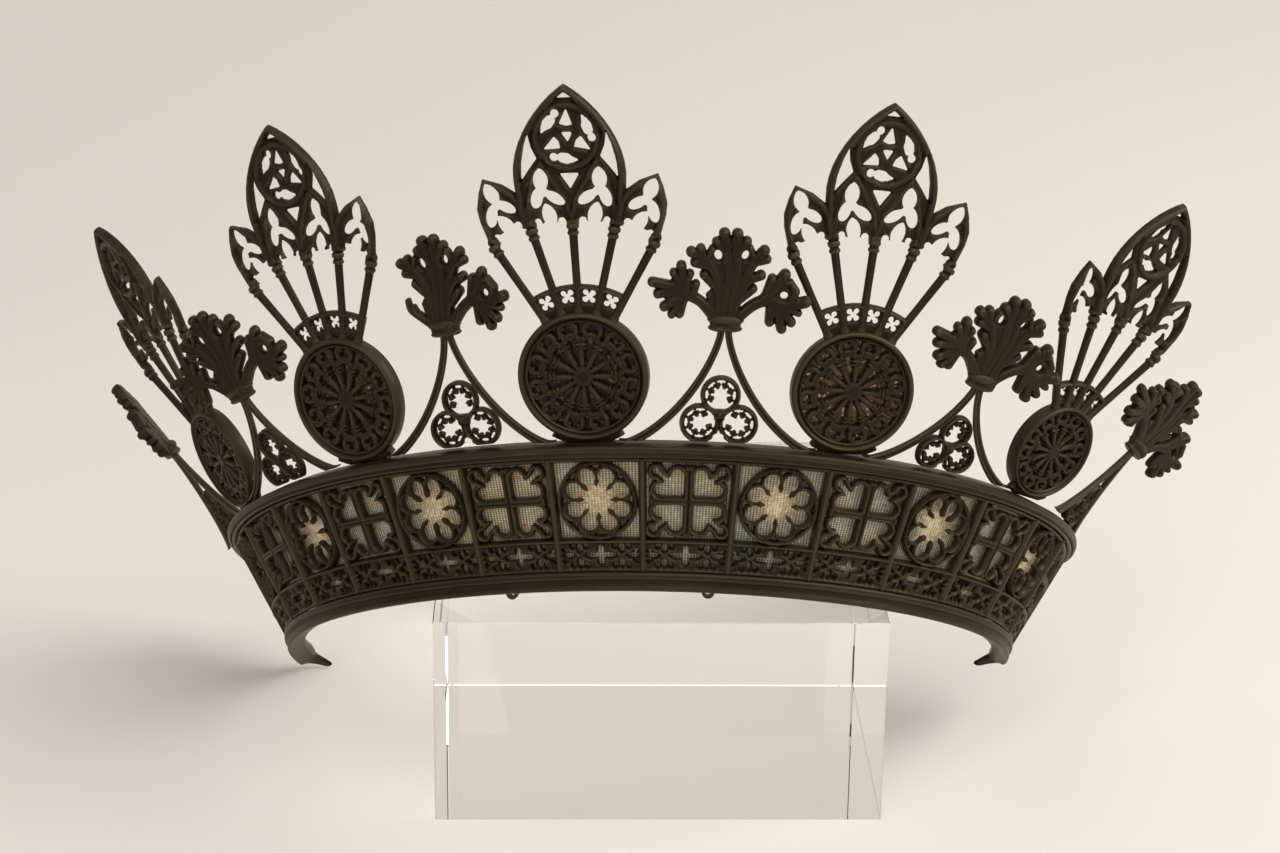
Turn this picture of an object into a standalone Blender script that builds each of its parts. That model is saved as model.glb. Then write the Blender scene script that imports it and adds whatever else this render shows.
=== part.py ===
"""A pierced iron tiara in the Gothic style, standing tilted back on a clear block.

Everything is in metres with +Z up. The block stands on the floor and faces -Y.
The tiara is modelled upright in its own frame, then turned and tilted back as a whole.
In that frame the band's lower edge is a curve in the plane z = 0 whose front is at -Y.
"""

import math

import bpy
from mathutils import Matrix, Vector

MM = 0.001

# The band's lower edge: distance to the front, bend at the front, and how the bend changes
FRONT = 75.0 * MM
BEND = 12.03
BEND_SKEW = 13.3
BEND_PINCH = 480.0

# The band flares outward as it rises
FLARE = math.radians(31.1)
PITCH = 15.63 * MM
PANELS = 7
BAND_HEIGHT = 21.85 * MM
RAIL_LOW = 3.7 * MM
RAIL_TOP = 2.6 * MM
RAIL_BACK = 3.4 * MM
PLATE = 1.6 * MM
GAP = 0.2 * MM

# Panels
MULLION = 0.75 * MM
TRANSOM_LOW = 5.1 * MM
TRANSOM = 0.9 * MM

# The uprights stand on the top rail and lean outward
LEAN = math.radians(30.6)
DRUM_DEPTH = 3.2 * MM
DRUM_HEIGHT = 17.46 * MM
WINDOW = 1.7 * MM
LEAF_FOOT = 27.0 * MM
ARCH_REACH = 18.3 * MM
ARCH_BAR = 1.65 * MM

# How the tiara lies on its block
TILT = math.radians(36.6)
TURN = math.radians(8.3)
LIFT = 9.69 * MM
BLOCK = (86.6 * MM, 94.5 * MM, 42.2 * MM)
BLOCK_PLACE = (-2.05 * MM, -9.8 * MM)
BLOCK_TURN = math.radians(3.1)
BLOCK_EDGE = 0.2 * MM
# The origin is under the middle of the whole
CENTRE = (-4.99 * MM, -11.275 * MM)

# Place along the rail, seat before the band, turn, extra lean and the drum's radius
WINDOWS = (
    ("far_left", -85.2, -2.6, 4.0, 3.4, 10.9),
    ("left", -43.6, -2.6, 4.0, -0.1, 12.3),
    ("centre", -1.2, -2.6, 0.3, 1.3, 12.2),
    ("right", 41.5, -2.6, -8.8, 0.3, 11.6),
    ("far_right", 83.2, -2.6, -11.0, 6.6, 9.9),
)
# Place along the rail, seat, turn, extra lean, and how much lower the leaf stands than the tallest could
LEAVES = (
    ("end_left", -102.1, -1.2, 10.6, 12.5, 3.3),
    ("outer_left", -63.7, -1.8, 0.2, 7.4, 5.3),
    ("inner_left", -22.0, -1.8, -1.6, -2.5, 2.6),
    ("inner_right", 20.1, -1.8, -1.6, 0.3, 2.8),
    ("outer_right", 59.2, -1.8, -0.3, 9.7, 6.2),
    ("end_right", 99.4, -1.2, 5.7, 13.2, 4.2),
)
# How wide each leaf spreads to its left and right, and how far it is twisted on its stem
LEAF_SIDES = {
    "end_left": (0.45, 0.6, -20.0),
    "outer_left": (0.8, 0.95, 22.0),
    "inner_left": (0.8, 0.88, 0.0),
    "inner_right": (0.91, 0.92, 0.0),
    "outer_right": (0.95, 0.9, -6.0),
    "end_right": (1.0, 0.86, -20.0),
}
# The end arches reach less far, and the arches away from the middle hold smaller trefoils
LEGS = {"end_left": (15.3 * MM, 14.0 * MM), "end_right": (14.4 * MM, 15.3 * MM)}
TREFOIL_SIZE = {"end_left": 0.76, "outer_left": 0.86, "outer_right": 0.84, "end_right": 0.76}


def clear_scene():
    """Remove what the scene starts with."""
    for item in list(bpy.data.objects):
        bpy.data.objects.remove(item, do_unlink=True)


def material(name, colour, roughness, metallic, alpha=1.0, transmission=0.0):
    """A plain material with the part's own colour."""
    made = bpy.data.materials.new(name)
    made.use_nodes = True
    surface = made.node_tree.nodes["Principled BSDF"]
    surface.inputs["Base Color"].default_value = (*colour, 1.0)
    surface.inputs["Roughness"].default_value = roughness
    surface.inputs["Metallic"].default_value = metallic
    surface.inputs["Alpha"].default_value = alpha
    surface.inputs["Transmission Weight"].default_value = transmission
    made.diffuse_color = (*colour, alpha)
    return made


def plan_frame(s):
    """Point, outward direction and forward direction on the lower edge at arc length s."""
    steps = 40
    x = 0.0
    y = -FRONT
    ds = s / steps
    for i in range(steps):
        q = (i + 0.5) * ds
        heading = BEND * q + BEND_SKEW * q * q / 2 + BEND_PINCH * q ** 3 / 3
        x += math.cos(heading) * ds
        y += math.sin(heading) * ds
    heading = BEND * s + BEND_SKEW * s * s / 2 + BEND_PINCH * s ** 3 / 3
    out = Vector((math.sin(heading), -math.cos(heading), 0.0))
    along = Vector((math.cos(heading), math.sin(heading), 0.0))
    return Vector((x, y, 0.0)), out, along


def band_point(s, up, forward):
    """A point of the band: up the flare from its lower edge, and forward of its middle plane."""
    base, out, _ = plan_frame(s)
    reach = up * math.sin(FLARE) + forward * math.cos(FLARE)
    rise = up * math.cos(FLARE) - forward * math.sin(FLARE)
    return base + out * reach + Vector((0.0, 0.0, rise))


def frame_matrix(origin, along, up):
    """Local x runs along, local y up the plate and local z out of its face."""
    x = along.normalized()
    z = x.cross(up).normalized()
    y = z.cross(x)
    turned = Matrix((x, y, z)).transposed()
    return Matrix.Translation(origin) @ turned.to_4x4()


def place(item, parent, matrix, surface):
    """Parent a piece, set its place and give it its material."""
    item.parent = parent
    item.matrix_local = matrix
    item.data.materials.append(surface)
    bpy.context.collection.objects.link(item)
    return item


def plate(name, outline, holes, depth, parent, matrix, surface):
    """A flat pierced plate, filled between an outline and its holes."""
    curve = bpy.data.curves.new(name, "CURVE")
    curve.dimensions = "2D"
    curve.fill_mode = "BOTH"
    curve.extrude = depth / 2
    for ring in (outline, *holes):
        spline = curve.splines.new("POLY")
        spline.points.add(len(ring) - 1)
        for point, (x, y) in zip(spline.points, ring):
            point.co = (x, y, 0.0, 1.0)
        spline.use_cyclic_u = True
    return place(bpy.data.objects.new(name, curve), parent, matrix, surface)


def solid(name, points, faces, parent, matrix, surface, smooth=False):
    """A mesh solid from points and faces."""
    mesh = bpy.data.meshes.new(name)
    mesh.from_pydata([tuple(p) for p in points], [], faces)
    mesh.validate()
    mesh.update()
    if smooth:
        mesh.shade_smooth()
        mesh.set_sharp_from_angle(angle=math.radians(40))
    return place(bpy.data.objects.new(name, mesh), parent, matrix, surface)


def swept(name, rings, parent, surface):
    """A closed bar through a row of equal rings, capped at both ends."""
    count = len(rings[0])
    points = [p for ring in rings for p in ring]
    faces = [tuple(range(count))]
    for r in range(len(rings) - 1):
        for i in range(count):
            j = (i + 1) % count
            low = r * count
            faces.append((low + i, low + count + i, low + count + j, low + j))
    last = (len(rings) - 1) * count
    faces.append(tuple(last + i for i in range(count - 1, -1, -1)))
    return solid(name, points, faces, parent, Matrix.Identity(4), surface)


def circle(cx, cy, radius, count, start=0.0):
    """Points round a circle."""
    ring = []
    for i in range(count):
        angle = start + math.tau * i / count
        ring.append((cx + radius * math.cos(angle), cy + radius * math.sin(angle)))
    return ring


def foiled(cx, cy, lobes, distance, radius, core, per_lobe, start=0.0):
    """The outline of a ring of round lobes about a round core."""
    ring = []
    for i in range(lobes * per_lobe):
        angle = start + math.tau * i / (lobes * per_lobe)
        off = (angle - start + math.pi / lobes) % (math.tau / lobes) - math.pi / lobes
        side = distance * math.sin(off)
        reach = core
        if abs(side) < radius:
            reach = max(core, distance * math.cos(off) + math.sqrt(radius ** 2 - side ** 2))
        ring.append((cx + reach * math.cos(angle), cy + reach * math.sin(angle)))
    return ring


def mirrored(points):
    """The same outline on the other side of the middle line."""
    return [(-x, y) for x, y in reversed(points)]


def scaled(points):
    """Millimetres to metres."""
    return [(x * MM, y * MM) for x, y in points]


def rails(parent, iron):
    """The moulded rails along the band's top and bottom edges."""
    low = BAND_HEIGHT + GAP
    high = BAND_HEIGHT + RAIL_TOP
    top = (
        (1.0 * MM, low),
        (1.2 * MM, low + 0.9 * MM),
        (1.85 * MM, low + 1.4 * MM),
        (1.85 * MM, high),
        (-RAIL_BACK, high),
        (-RAIL_BACK, high - 1.3 * MM),
        (-2.2 * MM, low),
    )
    last = PANELS + 0.5
    places = [i * PITCH / 2 for i in range(-2 * PANELS, 2 * PANELS + 1)]
    places = [-last * PITCH - 1.6 * MM, *places, last * PITCH + 1.6 * MM]
    rings = [[band_point(s, up, forward) for forward, up in top] for s in places]
    swept("top_rail", rings, parent, iron)

    bottom = (
        (1.7 * MM, -RAIL_LOW),
        (1.8 * MM, -2.6 * MM),
        (1.1 * MM, -1.9 * MM),
        (1.4 * MM, -0.9 * MM),
        (1.0 * MM, -GAP),
        (-2.2 * MM, -GAP),
        (-2.6 * MM, -2.2 * MM),
        (-2.2 * MM, -RAIL_LOW),
    )
    rings = []
    for i in range(-2 * PANELS - 1, 2 * PANELS + 2):
        rings.append([band_point(i * PITCH / 2, up, forward) for forward, up in bottom])
    hook = ((1.6, 0.0, 0.0, 0.95), (3.3, -0.7, -0.8, 0.75), (4.2, -1.9, -2.2, 0.55), (4.3, -2.9, -3.4, 0.4))
    for past, forward_shift, up_shift, size in hook:
        for sign in (-1, 1):
            s = sign * (last * PITCH + past * MM)
            ring = []
            for forward, up in bottom:
                f = (forward + 0.4 * MM) * size + forward_shift * MM
                v = (up + 1.9 * MM) * size + up_shift * MM - 1.9 * MM
                ring.append(band_point(s, v, f))
            if sign < 0:
                rings.insert(0, ring)
            else:
                rings.append(ring)
    swept("bottom_rail", rings, parent, iron)


def lining(parent, cloth):
    """The woven lining behind the panels."""
    section = (
        (-1.3 * MM, 2 * GAP),
        (-1.3 * MM, BAND_HEIGHT - GAP),
        (-2.3 * MM, BAND_HEIGHT - GAP),
        (-2.3 * MM, 2 * GAP),
    )
    rings = []
    for i in range(2 * PANELS + 2):
        s = (i - PANELS - 0.5) * PITCH
        rings.append([band_point(s, up, forward) for forward, up in section])
    swept("lining", rings, parent, cloth)


def panel(number, parent, iron):
    """One panel of the band: a frieze below, then a round window or a cross."""
    left = (number - 0.5) * PITCH + GAP / 4
    right = (number + 0.5) * PITCH - GAP / 4
    a = band_point(left, GAP, 0.0)
    b = band_point(right, GAP, 0.0)
    c = band_point(left, BAND_HEIGHT - GAP, 0.0)
    d = band_point(right, BAND_HEIGHT - GAP, 0.0)
    low = (b - a).length / 2 - GAP / 2
    high = (d - c).length / 2 - GAP / 2
    foot = (a + b) / 2
    head = (c + d) / 2
    tall = (head - foot).length
    outline = [(-low, 0.0), (low, 0.0), (high, tall), (-high, tall)]

    def half_width(y):
        return low + (high - low) * y / tall - MULLION

    y0 = 0.7 * MM
    y1 = TRANSOM_LOW
    frieze = [(-half_width(y0), y0), (half_width(y0), y0), (half_width(y1), y1), (1.6 * MM, y1), (0.0, y1 - 1.2 * MM)]
    frieze += [(-1.6 * MM, y1), (-half_width(y1), y1)]
    base = TRANSOM_LOW + TRANSOM
    middle = (base + tall - 0.4 * MM) / 2
    holes = [frieze]
    if number % 2 == 0:
        holes.append(foiled(0.0, middle, 8, 5.0 * MM, 1.55 * MM, 4.3 * MM, 5, math.pi / 8))
    else:
        bar = 0.75 * MM
        for y, sign in ((middle - bar, -1), (middle + bar, 1)):
            reach = (tall - 0.4 * MM - base) / 2 - bar - 0.6 * MM
            wide = half_width(y) - 0.6 * MM
            quarter = [
                (bar, y),
                (wide - 0.5 * MM, y),
                (wide, y + sign * 0.45 * reach),
                (wide - 1.3 * MM, y + sign * 0.6 * reach),
                (wide - 0.2 * MM, y + sign * 0.85 * reach),
                (wide - 1.4 * MM, y + sign * reach),
                (bar + 2.6 * MM, y + sign * 0.72 * reach),
                (bar + 1.3 * MM, y + sign * reach),
                (bar, y + sign * 0.8 * reach),
            ]
            holes.append(quarter)
            holes.append(mirrored(quarter))
    name = f"panel_{number + PANELS + 1:02d}"
    plate(name, outline, holes, PLATE, parent, frame_matrix(foot, b - a, head - foot), iron)


def upright_matrix(place_along, seat, turn, lean):
    """Where an upright stands: its foot line is the top rail's lower edge."""
    s = place_along * MM
    _, out, along = plan_frame(s)
    foot = band_point(s, BAND_HEIGHT, seat * MM)
    turned = math.radians(turn)
    out_now = out * math.cos(turned) + along * math.sin(turned)
    along_now = along * math.cos(turned) - out * math.sin(turned)
    total = LEAN + math.radians(lean)
    up = out_now * math.sin(total) + Vector((0.0, 0.0, math.cos(total)))
    return frame_matrix(foot, along_now, up)


def seat_height(matrix, across, half_depth):
    """How high up an upright a foot must end to stand just clear of the top rail."""
    edge = BAND_HEIGHT + RAIL_TOP
    height = 0.0
    for forward in (-half_depth, half_depth):
        y = 2.0 * MM
        while y < 12.0 * MM:
            spot = matrix @ Vector((across, y, forward))
            s = math.atan2(spot.x, -spot.y) / BEND
            for _ in range(12):
                base, out, along = plan_frame(s)
                s += (spot - base).dot(along) * 0.85
            base, out, along = plan_frame(s)
            reach = (spot - base).dot(out)
            top = edge * math.cos(FLARE) - (reach - edge * math.sin(FLARE)) * math.tan(FLARE)
            if spot.z > top + 0.3 * MM:
                break
            y += 0.05 * MM
        height = max(height, y)
    return height


def window_outline(rim):
    """The right half of the pinnacle's edge, from the drum's rim up to the tip, in millimetres."""
    turn = 0.62
    edge = [(rim * math.sin(turn), 17.46 + rim * math.cos(turn))]
    edge += [(8.5, 29.2), (16.3, 41.2), (16.3, 42.6), (17.6, 45.2), (18.0, 47.4), (17.9, 49.8), (17.4, 52.3), (16.35, 54.9)]
    edge += [(14.6, 54.0), (12.8, 52.8), (11.2, 51.6), (11.1, 54.2), (10.6, 56.8), (9.6, 59.6), (8.1, 62.5), (6.2, 65.4)]
    edge += [(3.6, 68.8), (1.5, 71.0)]
    return edge


def window(name, radius, matrix, parent, iron):
    """A pinnacle: a five-column window with a pointed head, standing on its drum."""
    rim = radius + 0.25
    right = window_outline(rim)
    saddle = []
    for i in range(-4, 5):
        angle = 0.62 * i / 5
        saddle.append((rim * math.sin(angle), 17.46 + rim * math.cos(angle)))
    outline = saddle + right + [(0.0, 72.4)] + mirrored(right)
    holes = [foiled(0.0, 61.55, 3, 2.3, 2.8, 2.0, 6, -0.5)]
    inner = [(0.95, 36.1), (4.0, 35.7), (6.6, 44.6), (7.2, 46.6), (7.6, 50.6), (6.3, 53.6), (4.4, 55.2), (2.3, 54.0), (0.9, 50.4)]
    inner += [(1.0, 46.6)]
    outer = [(6.1, 34.6), (8.2, 33.2), (13.9, 41.8), (15.6, 45.4), (16.1, 48.4), (15.5, 51.9), (13.0, 51.0), (10.4, 49.0)]
    outer += [(9.1, 46.4), (8.7, 43.6)]
    for light in (inner, outer):
        holes += [light, mirrored(light)]
    for u, v in ((2.0, 32.8), (5.9, 31.9)):
        small = circle(u, v, 1.15, 6, 0.5)
        holes += [small, mirrored(small)]
    plate("window_" + name, scaled(outline), [scaled(h) for h in holes], WINDOW, parent, matrix, iron)


def drum(name, radius, matrix, parent, iron):
    """The thick round medallion under a pinnacle, turned with a sunk face and a boss."""
    half = DRUM_DEPTH / 2
    r = radius * MM
    profile = (
        (0.0, half),
        (1.5 * MM, half),
        (2.1 * MM, half - 1.1 * MM),
        (r - 1.6 * MM, half - 1.3 * MM),
        (r - 1.3 * MM, half - 0.2 * MM),
        (r - 0.4 * MM, half),
        (r, half - 0.6 * MM),
        (r, 0.6 * MM - half),
        (r - 0.5 * MM, -half),
        (0.0, -half),
    )
    count = 24
    points = [(0.0, DRUM_HEIGHT, profile[0][1])]
    for reach, depth in profile[1:-1]:
        points += [(x, DRUM_HEIGHT + y, depth) for x, y in circle(0.0, 0.0, reach, count)]
    points.append((0.0, DRUM_HEIGHT, profile[-1][1]))
    rows = len(profile) - 2
    faces = []
    for i in range(count):
        j = (i + 1) % count
        faces.append((0, 1 + i, 1 + j))
        for row in range(rows - 1):
            a = 1 + row * count
            b = a + count
            faces.append((a + i, b + i, b + j, a + j))
        last = 1 + (rows - 1) * count
        faces.append((last + i, len(points) - 1, last + j))
    solid("medallion_" + name, points, faces, parent, matrix, iron, smooth=True)


def leaf(name, matrix, parent, iron):
    """A leaf finial on its collar. The inner left one has lost its left side leaf."""
    stem = [(2.0, 27.2), (3.0, 27.5), (3.0, 29.4), (2.2, 30.0)]
    spread = [(4.2, 31.6), (6.4, 31.8), (8.6, 30.0), (9.4, 27.6), (11.2, 26.8), (12.4, 28.6), (14.6, 28.2)]
    spread += [(16.0, 30.2), (15.2, 32.4), (16.6, 34.0), (15.4, 36.4), (12.8, 36.6), (11.4, 38.6), (8.8, 38.4)]
    stub = [(4.6, 31.0), (8.0, 33.4), (8.4, 35.2), (6.0, 34.2), (5.4, 36.6), (8.0, 38.8)]
    crown = [(8.4, 41.0), (7.0, 42.6), (5.0, 42.0), (4.0, 44.8), (2.4, 46.4)]
    left_wide, right_wide, _ = LEAF_SIDES[name]
    left = stem + (stub if name == "inner_left" else spread) + crown
    right = stem + spread + crown
    left = [(x if x < 3.1 else 3.1 + (x - 3.1) * left_wide, y) for x, y in left]
    right = [(x if x < 3.1 else 3.1 + (x - 3.1) * right_wide, y) for x, y in right]
    outline = right + [(0.0, 45.2)] + mirrored(left)
    holes = [circle(2.6, 40.4, 0.7, 5), circle(-2.6, 40.4, 0.7, 5)]
    plate("leaf_" + name, scaled(outline), [scaled(h) for h in holes], 2.4 * MM, parent, matrix, iron)


def arch(name, drop, matrix, parent, iron):
    """Two curved legs that carry a leaf from the rail."""
    bar = ARCH_BAR
    top = LEAF_FOOT - (drop + 0.1) * MM
    sides = []
    for sign, reach in zip((-1, 1), LEGS.get(name, (ARCH_REACH, ARCH_REACH))):
        foot = max(seat_height(matrix, sign * (reach - back * MM), bar / 2) for back in (0, 2, 4))
        outer = []
        steps = 8
        for i in range(steps + 1):
            t = i / steps
            x = 1.3 * MM + (reach - 1.3 * MM) * (1 - t) ** 1.4
            y = foot + (top - foot) * t ** 1.43
            outer.append((x, y))
        inner = []
        for i, (x, y) in enumerate(outer[:-1]):
            a = outer[max(0, i - 1)]
            b = outer[i + 1]
            size = math.hypot(b[0] - a[0], b[1] - a[1])
            inner.append((x - bar * (b[1] - a[1]) / size, max(foot, y + bar * (b[0] - a[0]) / size)))
        heel = reach - 2.2 * bar
        inner = [(heel, foot)] + [(x, y) for x, y in inner[1:] if 0.6 * MM < x < heel - 0.1 * MM]
        sides.append(([(sign * x, y) for x, y in outer], [(sign * x, y) for x, y in inner]))
    (left_outer, left_inner), (right_outer, right_inner) = sides
    join = (0.0, max(left_inner[-1][1], right_inner[-1][1]) + 1.2 * MM)
    outline = right_outer + left_outer[::-1] + left_inner + [join] + right_inner[::-1]
    plate("arch_" + name, outline, [], bar, parent, matrix, iron)


def trefoil(name, matrix, parent, iron):
    """Three pierced rings inside an arch."""
    size = TREFOIL_SIZE.get(name, 0.93)
    ring = 4.05 * MM * size
    foot = max(seat_height(matrix, side * 5 * MM * size, 0.75 * MM) for side in (-1, 1))
    low = foot + 3.7 * MM * size
    centres = [(0.0, low + 5.85 * MM * size)]
    centres += [(side * 3.83 * MM * size, low) for side in (-1, 1)]
    heart = (0.0, low + 1.7 * MM * size)
    outline = []
    count = 36
    for i in range(count):
        angle = math.tau * (i + 0.5) / count
        dx, dy = math.cos(angle), math.sin(angle)
        reach = 0.0
        for cx, cy in centres:
            fx, fy = cx - heart[0], cy - heart[1]
            along = fx * dx + fy * dy
            across = fx * dy - fy * dx
            if abs(across) < ring:
                reach = max(reach, along + math.sqrt(ring ** 2 - across ** 2))
        outline.append((heart[0] + reach * dx, max(heart[1] + reach * dy, foot)))
    holes = []
    for cx, cy in centres:
        holes.append(foiled(cx, cy, 4, 1.6 * MM * size, 1.2 * MM * size, 1.7 * MM * size, 3, math.pi / 4))
    plate("trefoil_" + name, outline, holes, 1.5 * MM, parent, matrix, iron)


def loop(name, s, parent, iron):
    """A small half ring under the bottom rail."""
    _, _, along = plan_frame(s)
    low = band_point(s, -RAIL_LOW - GAP, 0.0)
    up = band_point(s, 0.0, 0.0) - low
    outline = []
    for i in range(9):
        angle = math.pi * i / 8
        outline.append((1.2 * MM * math.cos(angle), -1.2 * MM * math.sin(angle)))
    for i in range(9):
        angle = math.pi * (8 - i) / 8
        outline.append((0.55 * MM * math.cos(angle), -0.55 * MM * math.sin(angle)))
    plate(name, outline, [], 0.9 * MM, parent, frame_matrix(low, along, up), iron)


def block(parent, acrylic):
    """The clear block that holds the front of the tiara up."""
    wide, deep, high = BLOCK
    x = wide / 2
    y = deep / 2
    points = [(sx * x, sy * y, z) for z in (0.0, high) for sx, sy in ((-1, -1), (1, -1), (1, 1), (-1, 1))]
    faces = [(3, 2, 1, 0), (4, 5, 6, 7), (0, 1, 5, 4), (1, 2, 6, 5), (2, 3, 7, 6), (3, 0, 4, 7)]
    place_now = Matrix.Translation((*BLOCK_PLACE, 0.0)) @ Matrix.Rotation(BLOCK_TURN, 4, "Z")
    item = solid("stand_block", points, faces, parent, place_now, acrylic)
    edge = item.modifiers.new("edge", "BEVEL")
    edge.width = BLOCK_EDGE
    edge.segments = 1


def main():
    clear_scene()
    iron = material("iron", (0.030, 0.026, 0.021), 0.45, 0.85)
    cloth = material("gold_cloth", (0.55, 0.43, 0.24), 0.5, 0.3)
    acrylic = material("clear_acrylic", (0.86, 0.86, 0.82), 0.08, 0.0, 0.4, 1.0)

    whole = bpy.data.objects.new("assembly", None)
    bpy.context.collection.objects.link(whole)
    whole.location = (-CENTRE[0], -CENTRE[1], 0.0)
    tiara = bpy.data.objects.new("tiara", None)
    bpy.context.collection.objects.link(tiara)
    tiara.parent = whole
    tiara.matrix_local = Matrix.Translation((0.0, 0.0, LIFT)) @ Matrix.Rotation(-TILT, 4, "X") @ Matrix.Rotation(-TURN, 4, "Z")

    rails(tiara, iron)
    lining(tiara, cloth)
    for number in range(-PANELS, PANELS + 1):
        panel(number, tiara, iron)
    for name, *where, radius in WINDOWS:
        matrix = upright_matrix(*where)
        foot = max(seat_height(matrix, side * MM, DRUM_DEPTH / 2 - 0.2 * MM) for side in (-3, 0, 3))
        matrix = matrix @ Matrix.Translation((0.0, foot + radius * MM - DRUM_HEIGHT, 0.0))
        drum(name, radius, matrix, tiara, iron)
        window(name, radius, matrix, tiara, iron)
    for name, *where, drop in LEAVES:
        matrix = upright_matrix(*where)
        twist = Matrix.Rotation(math.radians(LEAF_SIDES[name][2]), 4, "Y")
        leaf(name, matrix @ Matrix.Translation((0.0, -drop * MM, 0.0)) @ twist, tiara, iron)
        arch(name, drop, matrix, tiara, iron)
        trefoil(name, matrix, tiara, iron)
    loop("loop_left", -18.3 * MM, tiara, iron)
    loop("loop_right", 20.2 * MM, tiara, iron)
    block(whole, acrylic)


main()
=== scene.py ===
# %% [markdown]
# # A pierced iron tiara on a clear block
#
# The real tiara is cast iron of the Gothic revival: a band of fifteen pierced panels between two
# moulded rails, five tall windows that stand on round medallions, six leaf finials on curved
# rods, and a woven metal lining behind the band. This lesson builds its surface around the plain
# solids of the construction model, one kind of piece at a time.

# %% Load the frame
import functools
import math

import bpy
import numpy as np
from mathutils import Matrix, Vector


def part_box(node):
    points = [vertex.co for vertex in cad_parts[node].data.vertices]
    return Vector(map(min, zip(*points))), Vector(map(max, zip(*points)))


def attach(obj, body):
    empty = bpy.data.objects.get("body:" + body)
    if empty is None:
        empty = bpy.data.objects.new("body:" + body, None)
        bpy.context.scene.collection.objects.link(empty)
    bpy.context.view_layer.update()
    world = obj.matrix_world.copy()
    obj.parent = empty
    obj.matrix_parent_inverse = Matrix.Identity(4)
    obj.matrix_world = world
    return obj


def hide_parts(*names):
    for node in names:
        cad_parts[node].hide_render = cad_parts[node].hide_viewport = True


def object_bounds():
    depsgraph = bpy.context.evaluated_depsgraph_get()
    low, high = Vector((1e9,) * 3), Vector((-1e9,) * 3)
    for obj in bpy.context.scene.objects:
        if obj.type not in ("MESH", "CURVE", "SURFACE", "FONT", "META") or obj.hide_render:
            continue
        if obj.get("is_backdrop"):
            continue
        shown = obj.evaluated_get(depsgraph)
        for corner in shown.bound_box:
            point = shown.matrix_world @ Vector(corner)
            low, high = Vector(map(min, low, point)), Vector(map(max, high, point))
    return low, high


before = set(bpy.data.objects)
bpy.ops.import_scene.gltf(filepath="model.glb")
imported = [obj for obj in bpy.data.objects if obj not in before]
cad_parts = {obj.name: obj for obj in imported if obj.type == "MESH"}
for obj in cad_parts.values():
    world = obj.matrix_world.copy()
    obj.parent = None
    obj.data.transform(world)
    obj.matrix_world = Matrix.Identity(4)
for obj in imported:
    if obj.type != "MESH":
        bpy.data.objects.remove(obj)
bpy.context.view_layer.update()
MM = 0.001
print("frame:", len(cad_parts), "nodes")

# %% [markdown]
# ## Where things are
#
# The band follows a curve in plan that bends more sharply towards its ends. A foundry would make a
# wooden former of that curve. Here it is a heading that grows along the arc, added up in small
# steps, and every piece of the band is bent onto it. The uprights are flat castings, so each has
# one matrix, with its own small shift, turn and lean, as hand assembly leaves them.

# %% The band's line and the tiara's place
FRONT = 75.0 * MM
BEND, BEND_SKEW, BEND_PINCH = 12.03, 13.3, 480.0
FLARE = math.radians(31.1)
PITCH = 15.63 * MM
PANELS = 7
BAND_HEIGHT = 21.85 * MM
RAIL_LOW = 3.7 * MM
LEAN = math.radians(30.6)
CENTRE = (-4.99 * MM, -11.275 * MM)
LIFT = 9.69 * MM
TILT = math.radians(36.6)
TURN = math.radians(8.3)

TIARA = Matrix.Translation((-CENTRE[0], -CENTRE[1], LIFT))
TIARA = TIARA @ Matrix.Rotation(-TILT, 4, "X") @ Matrix.Rotation(-TURN, 4, "Z")

line_step = 0.25 * MM
line_s = np.arange(-560, 561) * line_step


def heading(s):
    """Direction of the band in plan at arc length s."""
    return BEND * s + BEND_SKEW * s ** 2 / 2 + BEND_PINCH * s ** 3 / 3


line_x = np.cumsum(np.cos(heading(line_s - line_step / 2))) * line_step
line_y = np.cumsum(np.sin(heading(line_s - line_step / 2))) * line_step
line_x -= np.interp(0.0, line_s, line_x)
line_y -= np.interp(0.0, line_s, line_y) + FRONT


def band(s, up, forward):
    """Points of the band in the tiara's frame: up the flare, and forward of the middle plane."""
    s, up, forward = np.broadcast_arrays(s, up, forward)
    turned = heading(s)
    reach = up * math.sin(FLARE) + forward * math.cos(FLARE)
    rise = up * math.cos(FLARE) - forward * math.sin(FLARE)
    x = np.interp(s, line_s, line_x) + np.sin(turned) * reach
    y = np.interp(s, line_s, line_y) - np.cos(turned) * reach
    return np.stack([x, y, rise], axis=-1).reshape(-1, 3)


def moved(points, matrix):
    """Points carried by a matrix."""
    table = np.array(matrix)
    return np.asarray(points) @ table[:3, :3].T + table[:3, 3]


def upright(place, seat, turn, lean):
    """The plane of an upright: x along the band, y up from the rail, z out of its face."""
    facing = heading(place * MM) + math.radians(turn)
    out = Vector((math.sin(facing), -math.cos(facing), 0.0))
    along = Vector((math.cos(facing), math.sin(facing), 0.0))
    foot = Vector(band(place * MM, BAND_HEIGHT, seat * MM)[0])
    tipped = LEAN + math.radians(lean)
    up = out * math.sin(tipped) + Vector((0.0, 0.0, math.cos(tipped)))
    face = along.cross(up).normalized()
    axes = Matrix((along, face.cross(along), face)).transposed().to_4x4()
    return TIARA @ Matrix.Translation(foot) @ axes


# Place along the rail, seat before the band, turn, extra lean, and the medallion's radius
WINDOWS = {
    "far_left": (-85.2, -2.6, 4.0, 3.4, 10.9),
    "left": (-43.6, -2.6, 4.0, -0.1, 12.3),
    "centre": (-1.2, -2.6, 0.3, 1.3, 12.2),
    "right": (41.5, -2.6, -8.8, 0.3, 11.6),
    "far_right": (83.2, -2.6, -11.0, 6.6, 9.9),
}
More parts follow.
